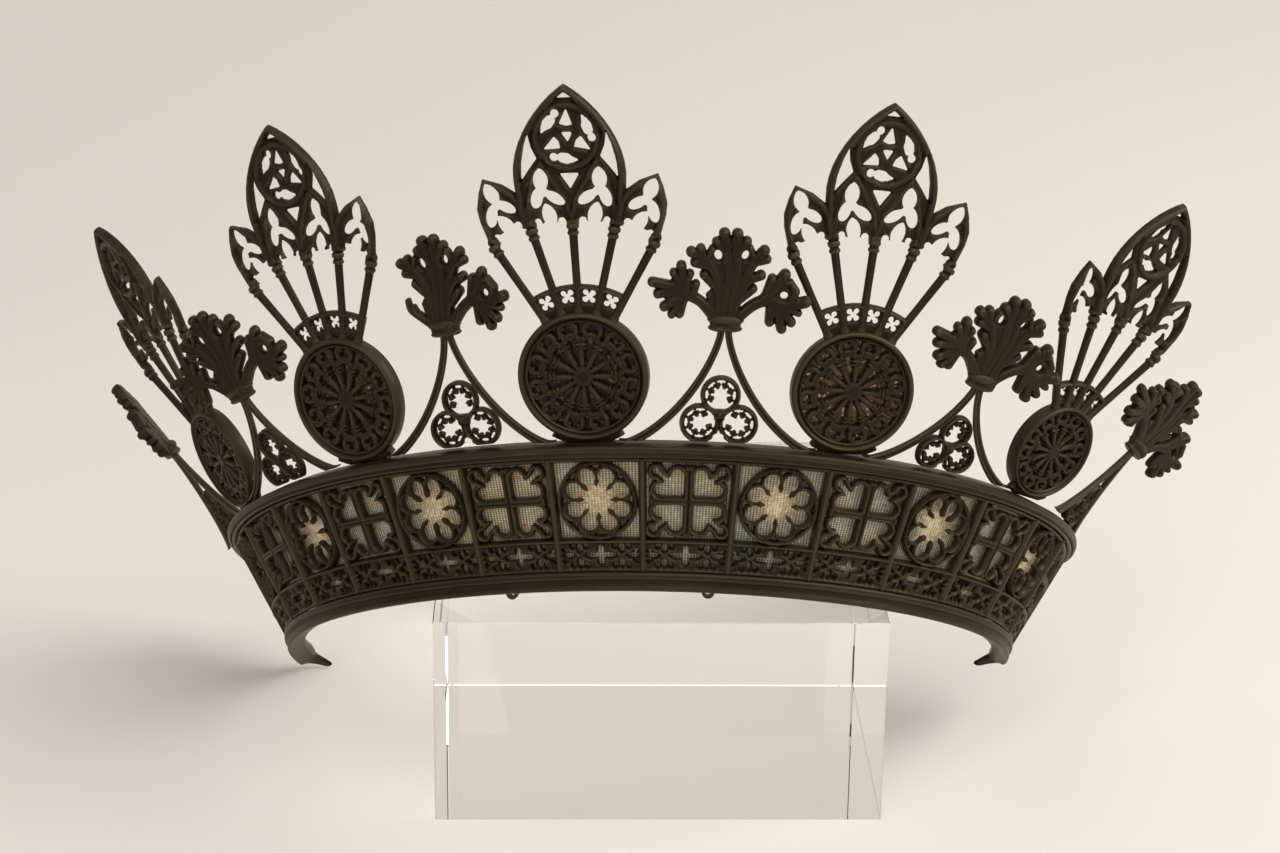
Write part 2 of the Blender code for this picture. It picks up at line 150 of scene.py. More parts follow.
# Place, seat, turn, extra lean, drop, the leaf's spread to left and right, its twist, the trefoil's
# size, and how far the two rods reach
LEAVES = {
    "end_left": (-102.1, -1.2, 10.6, 12.5, 3.3, (0.45, 0.6), -20.0, 0.76, (15.3, 14.0)),
    "outer_left": (-63.7, -1.8, 0.2, 7.4, 5.3, (0.8, 0.95), 22.0, 0.86, (18.3, 18.3)),
    "inner_left": (-22.0, -1.8, -1.6, -2.5, 2.6, (0.8, 0.88), 0.0, 0.93, (18.3, 18.3)),
    "inner_right": (20.1, -1.8, -1.6, 0.3, 2.8, (0.91, 0.92), 0.0, 0.93, (18.3, 18.3)),
    "outer_right": (59.2, -1.8, -0.3, 9.7, 6.2, (0.95, 0.9), -6.0, 0.84, (18.3, 18.3)),
    "end_right": (99.4, -1.2, 5.7, 13.2, 4.2, (1.0, 0.86), -20.0, 0.76, (14.4, 15.3)),
}


def in_plane(node, matrix):
    """A node's corners in an upright's own plane, in millimetres."""
    corners = np.array([v.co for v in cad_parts[node].data.vertices])
    return moved(corners, matrix.inverted()) / MM


check = moved(band(-7.5 * PITCH, -RAIL_LOW, 0.0), TIARA)[0]
print("left end of the lower rail:", [round(c / MM, 1) for c in check], "mm")

# %% [markdown]
# ## The camera
#
# The photograph looks down on the tiara at 21 degrees from a little to one side, through a long
# lens. The camera repeats that: its heading, pitch and roll give the three axes, and the distance
# and the offset put the band where the photograph has it.

# %% Camera
PHOTO = (1280, 853)
FOCAL_PX = 2887.0
DISTANCE = 614.2 * MM
OFFSET = (4.777 * MM, 56.13 * MM)
YAW, PITCH_DOWN, ROLL = 0.02526, 0.3665, 0.01358

cy, sy = math.cos(YAW), math.sin(YAW)
cp, sp = math.cos(PITCH_DOWN), math.sin(PITCH_DOWN)
cr, sr = math.cos(ROLL), math.sin(ROLL)
yawed = Matrix(((cy, sy, 0), (-sy, cy, 0), (0, 0, 1)))
pitched = Matrix(((1, 0, 0), (0, -sp, -cp), (0, cp, -sp)))
rolled = Matrix(((cr, -sr, 0), (sr, cr, 0), (0, 0, 1)))
view = rolled @ pitched @ yawed

lens = bpy.data.cameras.new("camera")
lens.sensor_width = 36.0
lens.lens = 36.0 * FOCAL_PX / PHOTO[0]
lens.clip_end = 20.0
camera = bpy.data.objects.new("camera", lens)
bpy.context.scene.collection.objects.link(camera)
spot = view.transposed() @ Vector((-OFFSET[0], -OFFSET[1], -DISTANCE))
spot += Vector((-CENTRE[0], -CENTRE[1], 0.0))
axes = Matrix((view[0], -view[1], -view[2])).transposed()
camera.matrix_world = Matrix.Translation(spot) @ axes.to_4x4()
bpy.context.scene.camera = camera
print("camera at", [round(c, 3) for c in spot], "lens", round(lens.lens, 1), "mm")

# %% [markdown]
# ## Shader maths as Python
#
# A node tree is arithmetic drawn as boxes. It reads better as arithmetic, so a small class wraps a
# socket and lets it be added, multiplied and raised to a power. Each operation adds its Math node.

# %% Socket class


class Wire:
    """A socket that takes part in Python sums."""

    def __init__(self, finish, socket):
        self.finish = finish
        self.socket = socket

    def maths(self, operation, a, b):
        return self.finish.node("Math", {0: a, 1: b}, operation=operation)

    def __add__(self, other):
        return self.maths("ADD", self, other)

    __radd__ = __add__

    def __sub__(self, other):
        return self.maths("SUBTRACT", self, other)

    def __rsub__(self, other):
        return self.maths("SUBTRACT", other, self)

    def __mul__(self, other):
        return self.maths("MULTIPLY", self, other)

    __rmul__ = __mul__

    def __pow__(self, other):
        return self.maths("POWER", self, other)


class Finish:
    """A material being written, and the one way in which nodes are added to it."""

    def __init__(self, name, **constants):
        self.material = bpy.data.materials.new(name)
        self.material.use_nodes = True
        self.tree = self.material.node_tree
        self.surface = self.tree.nodes["Principled BSDF"]
        self.where = self.node("TexCoord", output="Object")
        self.set(**constants)

    def set(self, **values):
        """Numbers, colours or wires for the shader's own sockets."""
        for key, value in values.items():
            self.put(self.surface.inputs[key.replace("_", " ")], value)

    def put(self, socket, value):
        if isinstance(value, Wire):
            self.tree.links.new(value.socket, socket)
        else:
            socket.default_value = value

    def node(self, kind, inputs=None, output=0, **settings):
        made = self.tree.nodes.new("ShaderNode" + kind)
        for key, value in settings.items():
            setattr(made, key, value)
        for key, value in (inputs or {}).items():
            self.put(made.inputs[key], value)
        return Wire(self, made.outputs[output])

    def noise(self, scale, detail=3.0, where=None, roughness=0.55):
        values = {"Vector": where or self.where, "Scale": scale, "Detail": detail, "Roughness": roughness}
        return self.node("TexNoise", values, "Fac")

    def blend(self, factor, a, b):
        paint = [(*c, 1.0) if isinstance(c, tuple) else c for c in (a, b)]
        return self.node("Mix", {0: factor, 6: paint[0], 7: paint[1]}, 2, data_type="RGBA")

    def ramp(self, value, low, high):
        values = {0: value, 1: low, 2: high, 3: 0.0, 4: 1.0}
        return self.node("MapRange", values)

    def bump(self, height, strength, distance):
        values = {"Height": height, "Strength": strength, "Distance": distance}
        self.set(Normal=self.node("Bump", values))


print("shader maths ready")

# %% [markdown]
# ## Iron
#
# The castings are blackened and lacquered: almost black in the hollows, a warm brown where the
# light catches them, with a fine grain from the moulding sand. Handling has worn the raised edges
# to a lighter brown, and a little rust shows as a red tint in patches.

# %% Iron material


def iron_finish():
    """Blackened cast iron with worn raised edges."""
    iron = Finish("blackened_iron", Metallic=0.3, IOR=1.36, Specular_Tint=(1.0, 0.84, 0.58, 1.0))
    cloud = iron.noise(60.0, 4.0)
    grain = iron.noise(2600.0, 3.0)
    patch = iron.ramp(iron.noise(38.0, 2.0), 0.60, 0.74)
    edge = iron.ramp(iron.node("NewGeometry", output="Pointiness"), 0.505, 0.56)
    base = iron.blend(iron.ramp(cloud, 0.35, 0.7), (0.0085, 0.0060, 0.0033), (0.018, 0.013, 0.0075))
    base = iron.blend(patch * 0.55, base, (0.042, 0.020, 0.013))
    base = iron.blend(edge * 0.5, base, (0.080, 0.060, 0.038))
    iron.set(Base_Color=base, Roughness=0.36 + cloud * 0.22 - edge * 0.06)
    iron.bump(grain * 0.6 + cloud * 0.4, 0.25, 0.06 * MM)
    return iron.material


IRON = iron_finish()
print("material:", IRON.name)

# %% [markdown]
# ## Drawing a casting
#
# A founder carves a pattern: flat stock, pierced, with its edges and ribs rounded over. The same
# thing can be said with fields. Each field gives, for a point of the plane, how deep it lies inside
# a shape, in millimetres. Shapes are joined with the greater of two fields and pierced with the
# lesser, and the depth itself rounds the edges over. It makes one clean closed surface where dozens
# of Boolean cuts would leave slivers.

# %% Fields


def disc(u, v, cu, cv, radius):
    return radius - np.hypot(u - cu, v - cv)


def leaned(u, v, cu, cv, lean):
    """Places as seen from a centre, on axes that lean clockwise by so many degrees."""
    a = math.radians(lean)
    x, y = u - cu, v - cv
    return x * math.cos(a) - y * math.sin(a), x * math.sin(a) + y * math.cos(a)


def oval(u, v, cu, cv, across, tall, lean=0.0):
    x, y = leaned(u, v, cu, cv, lean)
    return (1.0 - np.sqrt((x / across) ** 2 + (y / tall) ** 2)) * min(across, tall)


def gable(u, v, cu, cv, half, rise, lean=0.0):
    """A pointed opening: two arcs that meet above and below."""
    x, y = leaned(u, v, cu, cv, lean)
    radius = (rise ** 2 + half ** 2) / (2 * half)
    return radius - np.hypot(np.abs(x) + radius - half, y)


def nearest(u, v, a, b):
    """The nearest place on the line from a to b: its share of the way, and the distance to it."""
    du, dv = b[0] - a[0], b[1] - a[1]
    share = ((u - a[0]) * du + (v - a[1]) * dv) / (du * du + dv * dv + 1e-9)
    share = np.clip(share, 0.0, 1.0)
    return share, np.hypot(u - a[0] - share * du, v - a[1] - share * dv)


def stroke(u, v, path, *widths):
    """A line with a half width that changes evenly from each point to the next."""
    if len(widths) < len(path):
        widths = np.linspace(widths[0], widths[-1], len(path))
    field = -1e3
    for a, b, wide_a, wide_b in zip(path, path[1:], widths, widths[1:]):
        share, away = nearest(u, v, a, b)
        field = np.maximum(field, wide_a + (wide_b - wide_a) * share - away)
    return field


def region(u, v, corners):
    """Depth inside a polygon."""
    near = np.full(np.shape(u), 1e3)
    within = np.zeros(np.shape(u), bool)
    for a, b in zip(corners, corners[1:] + corners[:1]):
        near = np.minimum(near, nearest(u, v, a, b)[1])
        slope = (b[0] - a[0]) / (b[1] - a[1] + 1e-12)
        within ^= ((a[1] > v) != (b[1] > v)) & (u < (v - a[1]) * slope + a[0])
    return np.where(within, near, -near)


def join(*fields):
    return functools.reduce(np.maximum, fields)


def meet(*fields):
    return functools.reduce(np.minimum, fields)


def pierce(field, *holes):
    return meet(field, *(-hole for hole in holes))


def folded(u, v, count, start):
    """Places folded into one of so many sectors. The start is 0.5 to put its middle on the u axis."""
    sector = math.tau / count
    swing = (np.arctan2(v, u) + start * sector) % sector - sector / 2
    return np.hypot(u, v) * np.cos(swing), np.hypot(u, v) * np.sin(swing)


def crest(depth, half):
    """The round section of a rib whose edge lies where depth is zero."""
    return np.sqrt(np.clip(1.0 - ((depth - half) / half) ** 2, 0.0, 1.0))


def rounded(depth, width):
    """Rises from 0 at an edge to 1 at a depth, as a rounded-over corner does."""
    return np.sqrt(np.clip(1.0 - (1.0 - np.minimum(depth, width) / width) ** 2, 0.0, 1.0))


def bezier(a, b, c, d, steps=10):
    """Points along a cubic curve."""
    points = []
    for i in range(steps + 1):
        t = i / steps
        k = ((1 - t) ** 3, 3 * t * (1 - t) ** 2, 3 * t * t * (1 - t), t ** 3)
        points.append(tuple(sum(w * p[n] for w, p in zip(k, (a, b, c, d))) for n in (0, 1)))
    return points


def mirror(points):
    return [(-x, y) for x, y in reversed(points)]


def polar(angle, radius, cu=0.0, cv=0.0):
    """The point at a distance from a centre, in a direction given in degrees."""
    a = math.radians(angle)
    return cu + radius * math.cos(a), cv + radius * math.sin(a)


print("fields ready")

# %% [markdown]
# ## From a field to a mesh
#
# Marching squares walks over a grid and cuts each cell where the field crosses zero, so edges come
# out smooth at any angle. The front and the back share that outline, and a wall joins them.

# %% Mesh from a field


def cast(field, low, high, cell):
    """Points and faces of a pierced plate. The field gives depth, front height and back height."""
    columns = int(round((high[0] - low[0]) / cell)) + 1
    rows = int(round((high[1] - low[1]) / cell)) + 1
    u, v = np.meshgrid(np.linspace(low[0], high[0], columns), np.linspace(low[1], high[1], rows))
    depth = field(u, v)[0]
    depth[[0, -1], :] = np.minimum(depth[[0, -1], :], -0.05)
    depth[:, [0, -1]] = np.minimum(depth[:, [0, -1]], -0.05)
    held = 0.1 * cell
    depth = np.where(np.abs(depth) < held, np.where(depth > 0, held, -held), depth)
    number = np.arange(rows * columns).reshape(rows, columns)

    def crossings(a, b, first):
        at = np.clip(depth[a] / (depth[a] - depth[b] + 1e-12), 0.1, 0.9)
        ids = first + np.arange(at.size).reshape(at.shape)
        return u[a] + (u[b] - u[a]) * at, v[a] + (v[b] - v[a]) * at, ids

    left, right = np.s_[:, :-1], np.s_[:, 1:]
    lower, upper = np.s_[:-1, :], np.s_[1:, :]
    hu, hv, h = crossings(left, right, rows * columns)
    wu, wv, w = crossings(lower, upper, rows * columns + h.size)
    corner = [number[:-1, :-1], number[:-1, 1:], number[1:, 1:], number[1:, :-1]]
    point = corner + [h[:-1, :], w[:, 1:], h[1:, :], w[:, :-1]]
    inside = depth > 0
    filled = [inside[:-1, :-1], inside[:-1, 1:], inside[1:, 1:], inside[1:, :-1]]
    code = sum(f.astype(int) << i for i, f in enumerate(filled))

    polygons, walls = [], []
    for case in range(1, 16):
        where = code == case
        if not where.any():
            continue
        ring, exits = [], []
        for k in range(4):
            now, then = case >> k & 1, case >> (k + 1) % 4 & 1
            if now:
                ring.append(k)
            if now != then:
                exits.append((len(ring), bool(now)))
                ring.append(4 + k)
        polygons.append(np.stack([point[k][where] for k in ring], axis=1))
        for place, leaving in exits:
            if leaving:
                pair = ring[place], ring[(place + 1) % len(ring)]
                walls.append(np.stack([point[k][where] for k in pair], axis=1))

    used = np.unique(np.concatenate([p.ravel() for p in polygons]))
    fresh = np.zeros(used.max() + 1, int)
    fresh[used] = np.arange(used.size)
    all_u = np.concatenate([u.ravel(), hu.ravel(), wu.ravel()])[used]
    all_v = np.concatenate([v.ravel(), hv.ravel(), wv.ravel()])[used]
    _, front, back = field(all_u, all_v)
    top = np.stack([all_u, all_v, front], axis=1)
    bottom = np.stack([all_u, all_v, back], axis=1)
    count = used.size
    faces = []
    for polygon in polygons:
        faces += fresh[polygon].tolist()
        faces += (fresh[polygon][:, ::-1] + count).tolist()
    for wall in walls:
        a, b = fresh[wall].T
        faces += np.stack([b, a, a + count, b + count], axis=1).tolist()
    return np.concatenate([top, bottom]), faces


triangles = {}


class Shape:
    """Closed surfaces gathered into one piece."""

    def __init__(self):
        self.points = []
        self.faces = []

    def add(self, points, faces):
        first = sum(len(p) for p in self.points)
        self.points.append(np.asarray(points, float))
        self.faces += [tuple(i + first for i in face) for face in faces]
        return self

    def bars(self, rings):
        """A closed bar through a grid of points: rings along it, corners round it."""
        rings = np.asarray(rings)
        length, count, _ = rings.shape
        faces = [tuple(range(count))]
        for r in range(length - 1):
            for i in range(count):
                low, j = r * count, (i + 1) % count
                faces.append((low + i, low + count + i, low + count + j, low + j))
        last = (length - 1) * count
        faces.append(tuple(range(last + count - 1, last - 1, -1)))
        return self.add(rings.reshape(-1, 3), faces)

    def turned(self, a, b, profile, sides=14):
        """A turned piece between two points. Each row of the profile is a share of the way and a radius."""
        a, b = Vector(a), Vector(b)
        across = (b - a).orthogonal().normalized()
        other = (b - a).normalized().cross(across)
        turns = [polar(-360 * i / sides, 1.0) for i in range(sides)]
        spokes = [across * c + other * s for c, s in turns]
        return self.bars([[a.lerp(b, share) + spoke * radius for spoke in spokes] for share, radius in profile])

    def piece(self, name, surface, slot="iron", nodes=(), place=None, scale=MM, crease=38.0, change=None):
        """The finished object, riding on the body, in place of its plain solids. Its triangles are counted."""
        points = np.concatenate(self.points)
        points = change(points) if change else points * scale
        if place is not None:
            points = moved(points, place)
        mesh = bpy.data.meshes.new(name)
        mesh.from_pydata(points.tolist(), [], self.faces)
        mesh.shade_smooth()
        mesh.set_sharp_from_angle(angle=math.radians(crease))
        mesh.materials.append(surface)
        item = bpy.data.objects.new(name, mesh)
        bpy.context.scene.collection.objects.link(item)
        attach(item, "root")
        if nodes:
            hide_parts(*nodes)
        triangles[name] = sum(len(face) - 2 for face in self.faces)
        return item


print("mesh maker ready")

# %% [markdown]
# ## The windows
#
# Each upright is a Gothic window in small: five slim columns fan out from the medallion, and above
# them sit two trefoiled lights, a rose with three curling mouchettes, and a lower light on either
# side. Only the rose has a turn to it, so everything else is drawn once and mirrored.

# %% Window pattern
DRUM_CENTRE = 17.46
SILL_HEIGHT, SILL_HALF = 5.1, math.radians(33.2)
QUATREFOILS = (7.6, 23.6)
ROSE_CENTRE, ROSE_RADIUS = 62.2, 6.35
BASE_LEVEL = 0.35
EDGE_LEVEL = -0.25
BACK_LEVEL = -0.85

main_arch = bezier((0.0, 71.7), (4.6, 69.0), (10.5, 62.2), (10.45, 55.0))
main_arch += [(10.2, 52.0), (9.9, 48.5), (8.9, 45.7)]
main_arch += mirror(main_arch[1:])
side_arch = [(7.0, 46.0), (9.0, 50.6), (10.2, 52.1), (12.7, 53.7), (16.25, 54.8), (17.1, 52.2)]
side_arch += [(17.6, 49.3), (17.2, 46.9), (15.9, 43.2), (14.1, 42.3), (11.5, 44.0), (8.9, 45.3)]
sub_arch = [(7.9, 45.6), (7.9, 49.5), (7.0, 53.8), (5.1, 57.3), (3.2, 54.4), (1.2, 51.0), (0.0, 47.5)]
HEADS = ((0.0, 46.3), (7.8, 45.4), (15.1, 42.5))


def rose_holes(u, v):
    """The rose's three mouchettes, three curved triangles and small centre."""
    x, y = u, v - ROSE_CENTRE
    holes = []
    for k in range(3):
        def spot(angle, radius):
            return polar(angle - 120 * k, radius)

        swirl = [(116, 4.55), (122, 4.3), (134, 4.1), (146, 4.15), (158, 4.4), (172, 4.75)]
        swirl = [spot(*pair) for pair in swirl]
        holes.append(stroke(x, y, swirl, 0.58, 0.4, 0.92, 1.0, 0.62, 0.12))
        holes.append(disc(x, y, *spot(115, 4.6), 0.78))
        wedge = [spot(88, 5.1), spot(60, 2.35), spot(92, 1.8), spot(120, 2.6)]
        holes.append(region(x, y, wedge))
    holes.append(region(x, y, [(-1.1, 0.75), (1.1, 0.75), (0.1, -1.15)]))
    return holes


def window_lights(w, v):
    """The trefoiled lights over the columns. Each is three foils round a small middle."""
    return [
        gable(w, v, 5.45, 54.2, 1.4, 2.3),
        oval(w, v, 6.35, 50.9, 1.12, 1.95, -15),
        oval(w, v, 3.0, 50.9, 1.02, 2.05, 58),
        disc(w, v, 4.95, 52.0, 0.85),
        gable(w, v, 4.2, 47.6, 1.35, 2.5, 16),
        disc(w, v, 6.35, 46.5, 0.7),
        disc(w, v, 1.95, 46.5, 0.8),
        region(w, v, [(1.1, 44.0), (1.1, 46.3), (6.6, 46.3), (6.7, 44.0)]),
        gable(w, v, 14.75, 51.9, 1.35, 2.3, 28),
        oval(w, v, 14.95, 47.8, 1.1, 2.1, -8),
        oval(w, v, 12.2, 49.5, 1.0, 1.95, 64),
        disc(w, v, 14.0, 49.75, 0.85),
        gable(w, v, 12.3, 46.0, 1.3, 2.4, 38),
        disc(w, v, 14.15, 43.8, 0.7),
        disc(w, v, 10.15, 46.0, 0.75),
        region(w, v, [(8.9, 45.2), (10.2, 46.3), (14.4, 43.9), (13.6, 42.6)]),
    ]


def window_field(u, v, rim):
    """Depth, front and back of the window's flat casting, over a medallion of a given radius."""
    w = np.abs(u)
    arch, side = region(u, v, main_arch), region(w, v, side_arch)
    reach = np.hypot(u, v - DRUM_CENTRE)
    swing = np.arctan2(w, v - DRUM_CENTRE)
    top = rim + SILL_HEIGHT - reach
    sill = meet(top, reach - rim + 0.5, (SILL_HALF - swing) * 14.0)

    beside_rose = [(7.25, 62.9), (8.1, 60.6), (8.75, 57.6), (9.0, 54.2), (7.4, 56.4), (5.85, 58.3), (6.8, 60.4)]
    lights = window_lights(w, v) + [
        region(w, v, beside_rose),
        region(u, v, [(0.0, 70.2), (1.4, 69.2), (-1.4, 69.2)]),
        region(u, v, [(-1.85, 55.4), (1.85, 55.4), (0.0, 52.5)]),
    ]
    for angle in QUATREFOILS:
        middle = polar(90 - angle, rim + 2.9, 0.0, DRUM_CENTRE)
        for turn in (45, 135, 225, 315):
            lights.append(disc(w, v, *polar(turn - angle, 0.94, *middle), 0.55))
            lights.append(stroke(w, v, [middle, polar(turn - angle, 0.9, *middle)], 0.3))
    knots = join(*(disc(w, v, hu, hv + 0.5, 1.05) for hu, hv in HEADS))
    depth = join(pierce(join(arch, side, sill), *lights, *rose_holes(u, v)), knots)

    level = BASE_LEVEL + join(
        0.75 * crest(arch, 0.75),
        0.65 * crest(side, 0.7),
        0.60 * crest(disc(u, v, 0.0, ROSE_CENTRE, ROSE_RADIUS), 0.65),
        0.45 * crest(stroke(w, v, sub_arch, 0.55), 0.55),
        np.where(sill > 0, 0.4 * crest(top, 0.5), 0.0),
    )
    front = EDGE_LEVEL + (level - EDGE_LEVEL) * rounded(depth, 0.55)
    back = BACK_LEVEL + 0.25 * (1.0 - rounded(depth, 0.4))
    return depth, front, back


CAPITAL = (
    (0.0, 0.95), (0.02, 1.18), (0.05, 1.18), (0.06, 0.92), (0.085, 0.88), (0.1, 1.08), (0.12, 1.08),
    (0.135, 0.8), (0.5, 0.74), (0.93, 0.78), (0.97, 0.98), (1.0, 0.98),
)
WINDOW_CELL = 0.25


def window_shape(rim):
    """A window's casting and its five columns, for a medallion of a given radius."""
    plate = cast(lambda u, v: window_field(u, v, rim), (-18.0, 27.0), (18.0, 72.2), WINDOW_CELL)
    shape = Shape().add(*plate)
    for hu, hv in HEADS:
        away = Vector((hu, hv - DRUM_CENTRE)).normalized() * (rim - 0.3)
        for sign in (-1, 1) if hu else (1,):
            shape.turned((sign * hu, hv, 0.1), (sign * away.x, DRUM_CENTRE + away.y, 0.1), CAPITAL)
    return shape


window_patterns = {name: window_shape(row[-1]) for name, row in WINDOWS.items()}
print("window pattern:", len(window_patterns["centre"].faces), "faces")

# %% [markdown]
# ## The medallions
#
# A turned drum carries each window. Its sunk face holds a wheel of twelve little columns with
# round arches, inside a ring of cusped circles, and behind that openwork lies a sheet of gold foil,
# crumpled and browned. Its glints are painted into its colour, and each sheet is painted lighter or
# darker for the light that falls on it.

# %% Medallion pattern
SPOKES = 12
WHEEL = 11.4
WHEEL_CELL = 0.24


def wheel_field(u, v):
    """The openwork wheel in the drum's face, about its own centre."""
    r = np.hypot(u, v)
    x, y = folded(u, v, SPOKES, 0.5)
    gx, gy = folded(u, v, SPOKES, 0.0)
    column = stroke(x, y, [(1.6, 0.0), (5.9, 0.0)], 0.5, 0.68)
    cap = join(stroke(x, y, [(5.5, -0.7), (5.5, 0.7)], 0.32), stroke(x, y, [(6.2, -0.85), (6.2, 0.85)], 0.34))
    foot = stroke(x, y, [(2.6, -0.45), (2.6, 0.45)], 0.26)
    head = meet(0.58 - np.abs(np.hypot(gx - 6.6, gy) - 1.5), gx - 6.0)
    cusp = join(disc(gx, np.abs(gy), 7.0, 1.05, 0.42), disc(gx, gy, 7.7, 0.0, 0.4))
    ring = 0.56 - np.abs(np.hypot(gx - 9.15, gy) - 1.55)
    knobs = [disc(gx, gy, *polar(angle, 0.95, 9.15), 0.4) for angle in (60, 180, 300)]
    boss = disc(u, v, 0.0, 0.0, 2.1)
    petals = disc(x, y, 2.2, 0.0, 0.62)
    depth = join(column, cap, foot, head, ring, r - 10.5, boss, petals, cusp, *knobs)
    depth = meet(depth, WHEEL - 0.2 - r)
    front = 0.15 + join(
        0.7 * rounded(depth, 0.42),
        1.15 * rounded(boss, 0.9),
        1.0 * rounded(join(cap, foot), 0.32),
        0.95 * rounded(column, 0.45),
    )
    return depth, front, -0.35 + 0.0 * u


# The lathe's line over the drum's face, rim and back, as radius and height
DRUM_LINE = (
    (10.5, -1.1), (10.5, 0.95), (10.75, 1.2), (11.0, 0.95), (11.15, 1.05), (11.35, 1.45), (11.7, 1.62),
    (12.05, 1.5), (12.3, 1.15), (12.3, -1.15), (12.1, -1.5), (11.7, -1.6), (11.2, -1.45), (10.9, -1.35),
    (10.4, -1.35),
)
DRUM_SIDES = 96
PATTERN_RADIUS = 12.3
SADDLE_HALF = math.radians(31)
SADDLE_CELL = 0.25


def drum_shape(radius):
    """The moulded rim, turned on a lathe, with the wheel cast inside it."""
    size = radius / PATTERN_RADIUS
    points, faces = cast(wheel_field, (-WHEEL, -WHEEL), (WHEEL, WHEEL), WHEEL_CELL)
    shape = Shape().add(points * (size, size, 1.0), faces)
    points, faces, count = [], [], len(DRUM_LINE)
    centre = DRUM_SIDES * count
    for i in range(DRUM_SIDES):
        points += [(*polar(360 * i / DRUM_SIDES, r * size), z) for r, z in DRUM_LINE]
        here, there = i * count, (i + 1) % DRUM_SIDES * count
        faces += [(here + k + 1, there + k + 1, there + k, here + k) for k in range(count - 1)]
        faces += [(here, there, centre), (centre + 1, there + count - 1, here + count - 1)]
    shape.add(points + [(0.0, 0.0, -1.1), (0.0, 0.0, -1.35)], faces)
    saddle = cast(
        lambda u, v: saddle_field(u, v, radius), (-10.5, -radius - 0.9), (10.5, -radius + 4.5), SADDLE_CELL
    )
    return shape.add(*saddle)


def saddle_field(u, v, radius):
    """The crescent that fills the corner between the drum and the rail."""
    r = np.hypot(u, v)
    swing = np.arctan2(np.abs(u), -v)
    side = (SADDLE_HALF - swing) * 12.0
    depth = meet(radius + 1.1 - r, r - radius + 0.6, side, v + radius + 0.45)
    front = 0.2 + 0.5 * rounded(depth, 0.5)
    return depth, front, -0.7 + 0.0 * u


def foil_finish(name, painted_light):
    """Crumpled gold foil, browned with age, with glints painted into its colour; the whole sheet is painted
    lighter or darker for the light that falls on it.
    """
    foil = Finish("aged_gold_foil_painted_glints_" + name, Metallic=0.6)
    colours = ((0.022, 0.013, 0.009), (0.15, 0.085, 0.042), (0.80, 0.62, 0.36))
    dull, brown_gold, painted_glint = [tuple(painted_light * c for c in colour) for colour in colours]
    glint_flake = foil.noise(1100.0, 3.0)
    patch = foil.noise(140.0, 3.0)
    brown = foil.blend(foil.ramp(patch, 0.42, 0.62), dull, brown_gold)
    # Painted glints: where the flake noise is high, the colour turns bright gold and stands in for light caught
    # by the crumples.
    foil.set(Base_Color=foil.blend(foil.ramp(glint_flake, 0.58, 0.68), brown, painted_glint), Roughness=0.22 + glint_flake * 0.35)
    foil.bump(foil.noise(700.0, 4.0), 0.9, 0.3 * MM)
    return foil.material


# Painted light and shade: each medallion's foil is painted lighter or darker for the light it catches,
# brightest on the right and darkest in the middle.
PAINTED_FOIL_LIGHT = {"far_left": 0.5, "left": 0.7, "centre": 0.25, "right": 1.1, "far_right": 0.9}
drum_patterns = {name: drum_shape(row[-1]) for name, row in WINDOWS.items()}
print("drum pattern:", len(drum_patterns["centre"].faces), "faces")

# %% [markdown]
# ## Hanging the windows and medallions
#
# The construction model says how high each drum stands on the rail, so the pattern is moved up or
# down by the difference and then carried into its own plane.

# %% Windows and medallions in place
FOIL_SHARE = 0.85

for name, (*where, radius) in WINDOWS.items():
    matrix = upright(*where)
    solid = in_plane("medallion_" + name, matrix)
    rise = (solid[:, 1].min() + solid[:, 1].max()) / 2 - DRUM_CENTRE
    stand = matrix @ Matrix.Translation((0.0, rise * MM, 0.0))
    centre = stand @ Matrix.Translation((0.0, DRUM_CENTRE * MM, 0.0))
    window_patterns[name].piece("gothic_window_" + name, IRON, nodes=["window_" + name], place=stand)
    drum_patterns[name].piece("rose_medallion_" + name, IRON, nodes=["medallion_" + name], place=centre)
    disc_line = ((0.0, radius * FOIL_SHARE), (1.0, radius * FOIL_SHARE))
    foil = Shape().turned((0.0, 0.0, -1.0), (0.0, 0.0, -0.45), disc_line, 48)
    foil.piece("gold_foil_" + name, foil_finish(name, PAINTED_FOIL_LIGHT[name]), place=centre)
print("windows and medallions:", sum(triangles.values()), "triangles")

# %% [markdown]
# ## The panels
#
# Two patterns alternate along the band. One is a ring with eight round lobes, open to the middle;
# the other is a cross whose four lights end in three lobes each. Both stand over a frieze of small
# lozenges. The pattern is drawn flat and then bent onto the band, as wax is onto a former.

# %% Panel patterns
SPREAD = 0.00723
HALF = PITCH / MM / 2
PANEL_TOP = 21.45
TRANSOM_LOW = 5.1
TRANSOM_HIGH = 6.0
PANEL_MIDDLE = 13.45
FRIEZE_MIDDLE = 2.75
PANEL_CELL = 0.235
PANEL_SEAT = 0.2


def frieze_holes(x, y, half):
    """Lozenges of four petals, with parts of the same between them."""
    w = np.abs(x)
    q = np.abs(y - FRIEZE_MIDDLE)
    quarter = np.abs(w - half / 2)
    return [
        oval(w, q, 0.0, 1.1, 0.6, 1.15),
        oval(w, q, 1.5, 0.0, 1.4, 0.55),
        disc(w, q, 0.0, 0.0, 0.6),
        oval(quarter, q, 0.0, 1.45, 0.55, 0.85),
        disc(quarter, q, 1.25, 1.85, 0.5),
        oval(half - w, q, 1.9, 0.0, 1.1, 0.5),
        disc(half - w, q, 1.3, 1.1, 0.5),
    ]


def frieze_ribs(x, y, half):
    """Depth inside the crossing ribs of the frieze."""
    slope = 2.35 * (2 * np.abs(x) / half - 1)
    rise = y - FRIEZE_MIDDLE
    return 0.3 - meet(np.abs(rise - slope), np.abs(rise + slope)) * 0.85


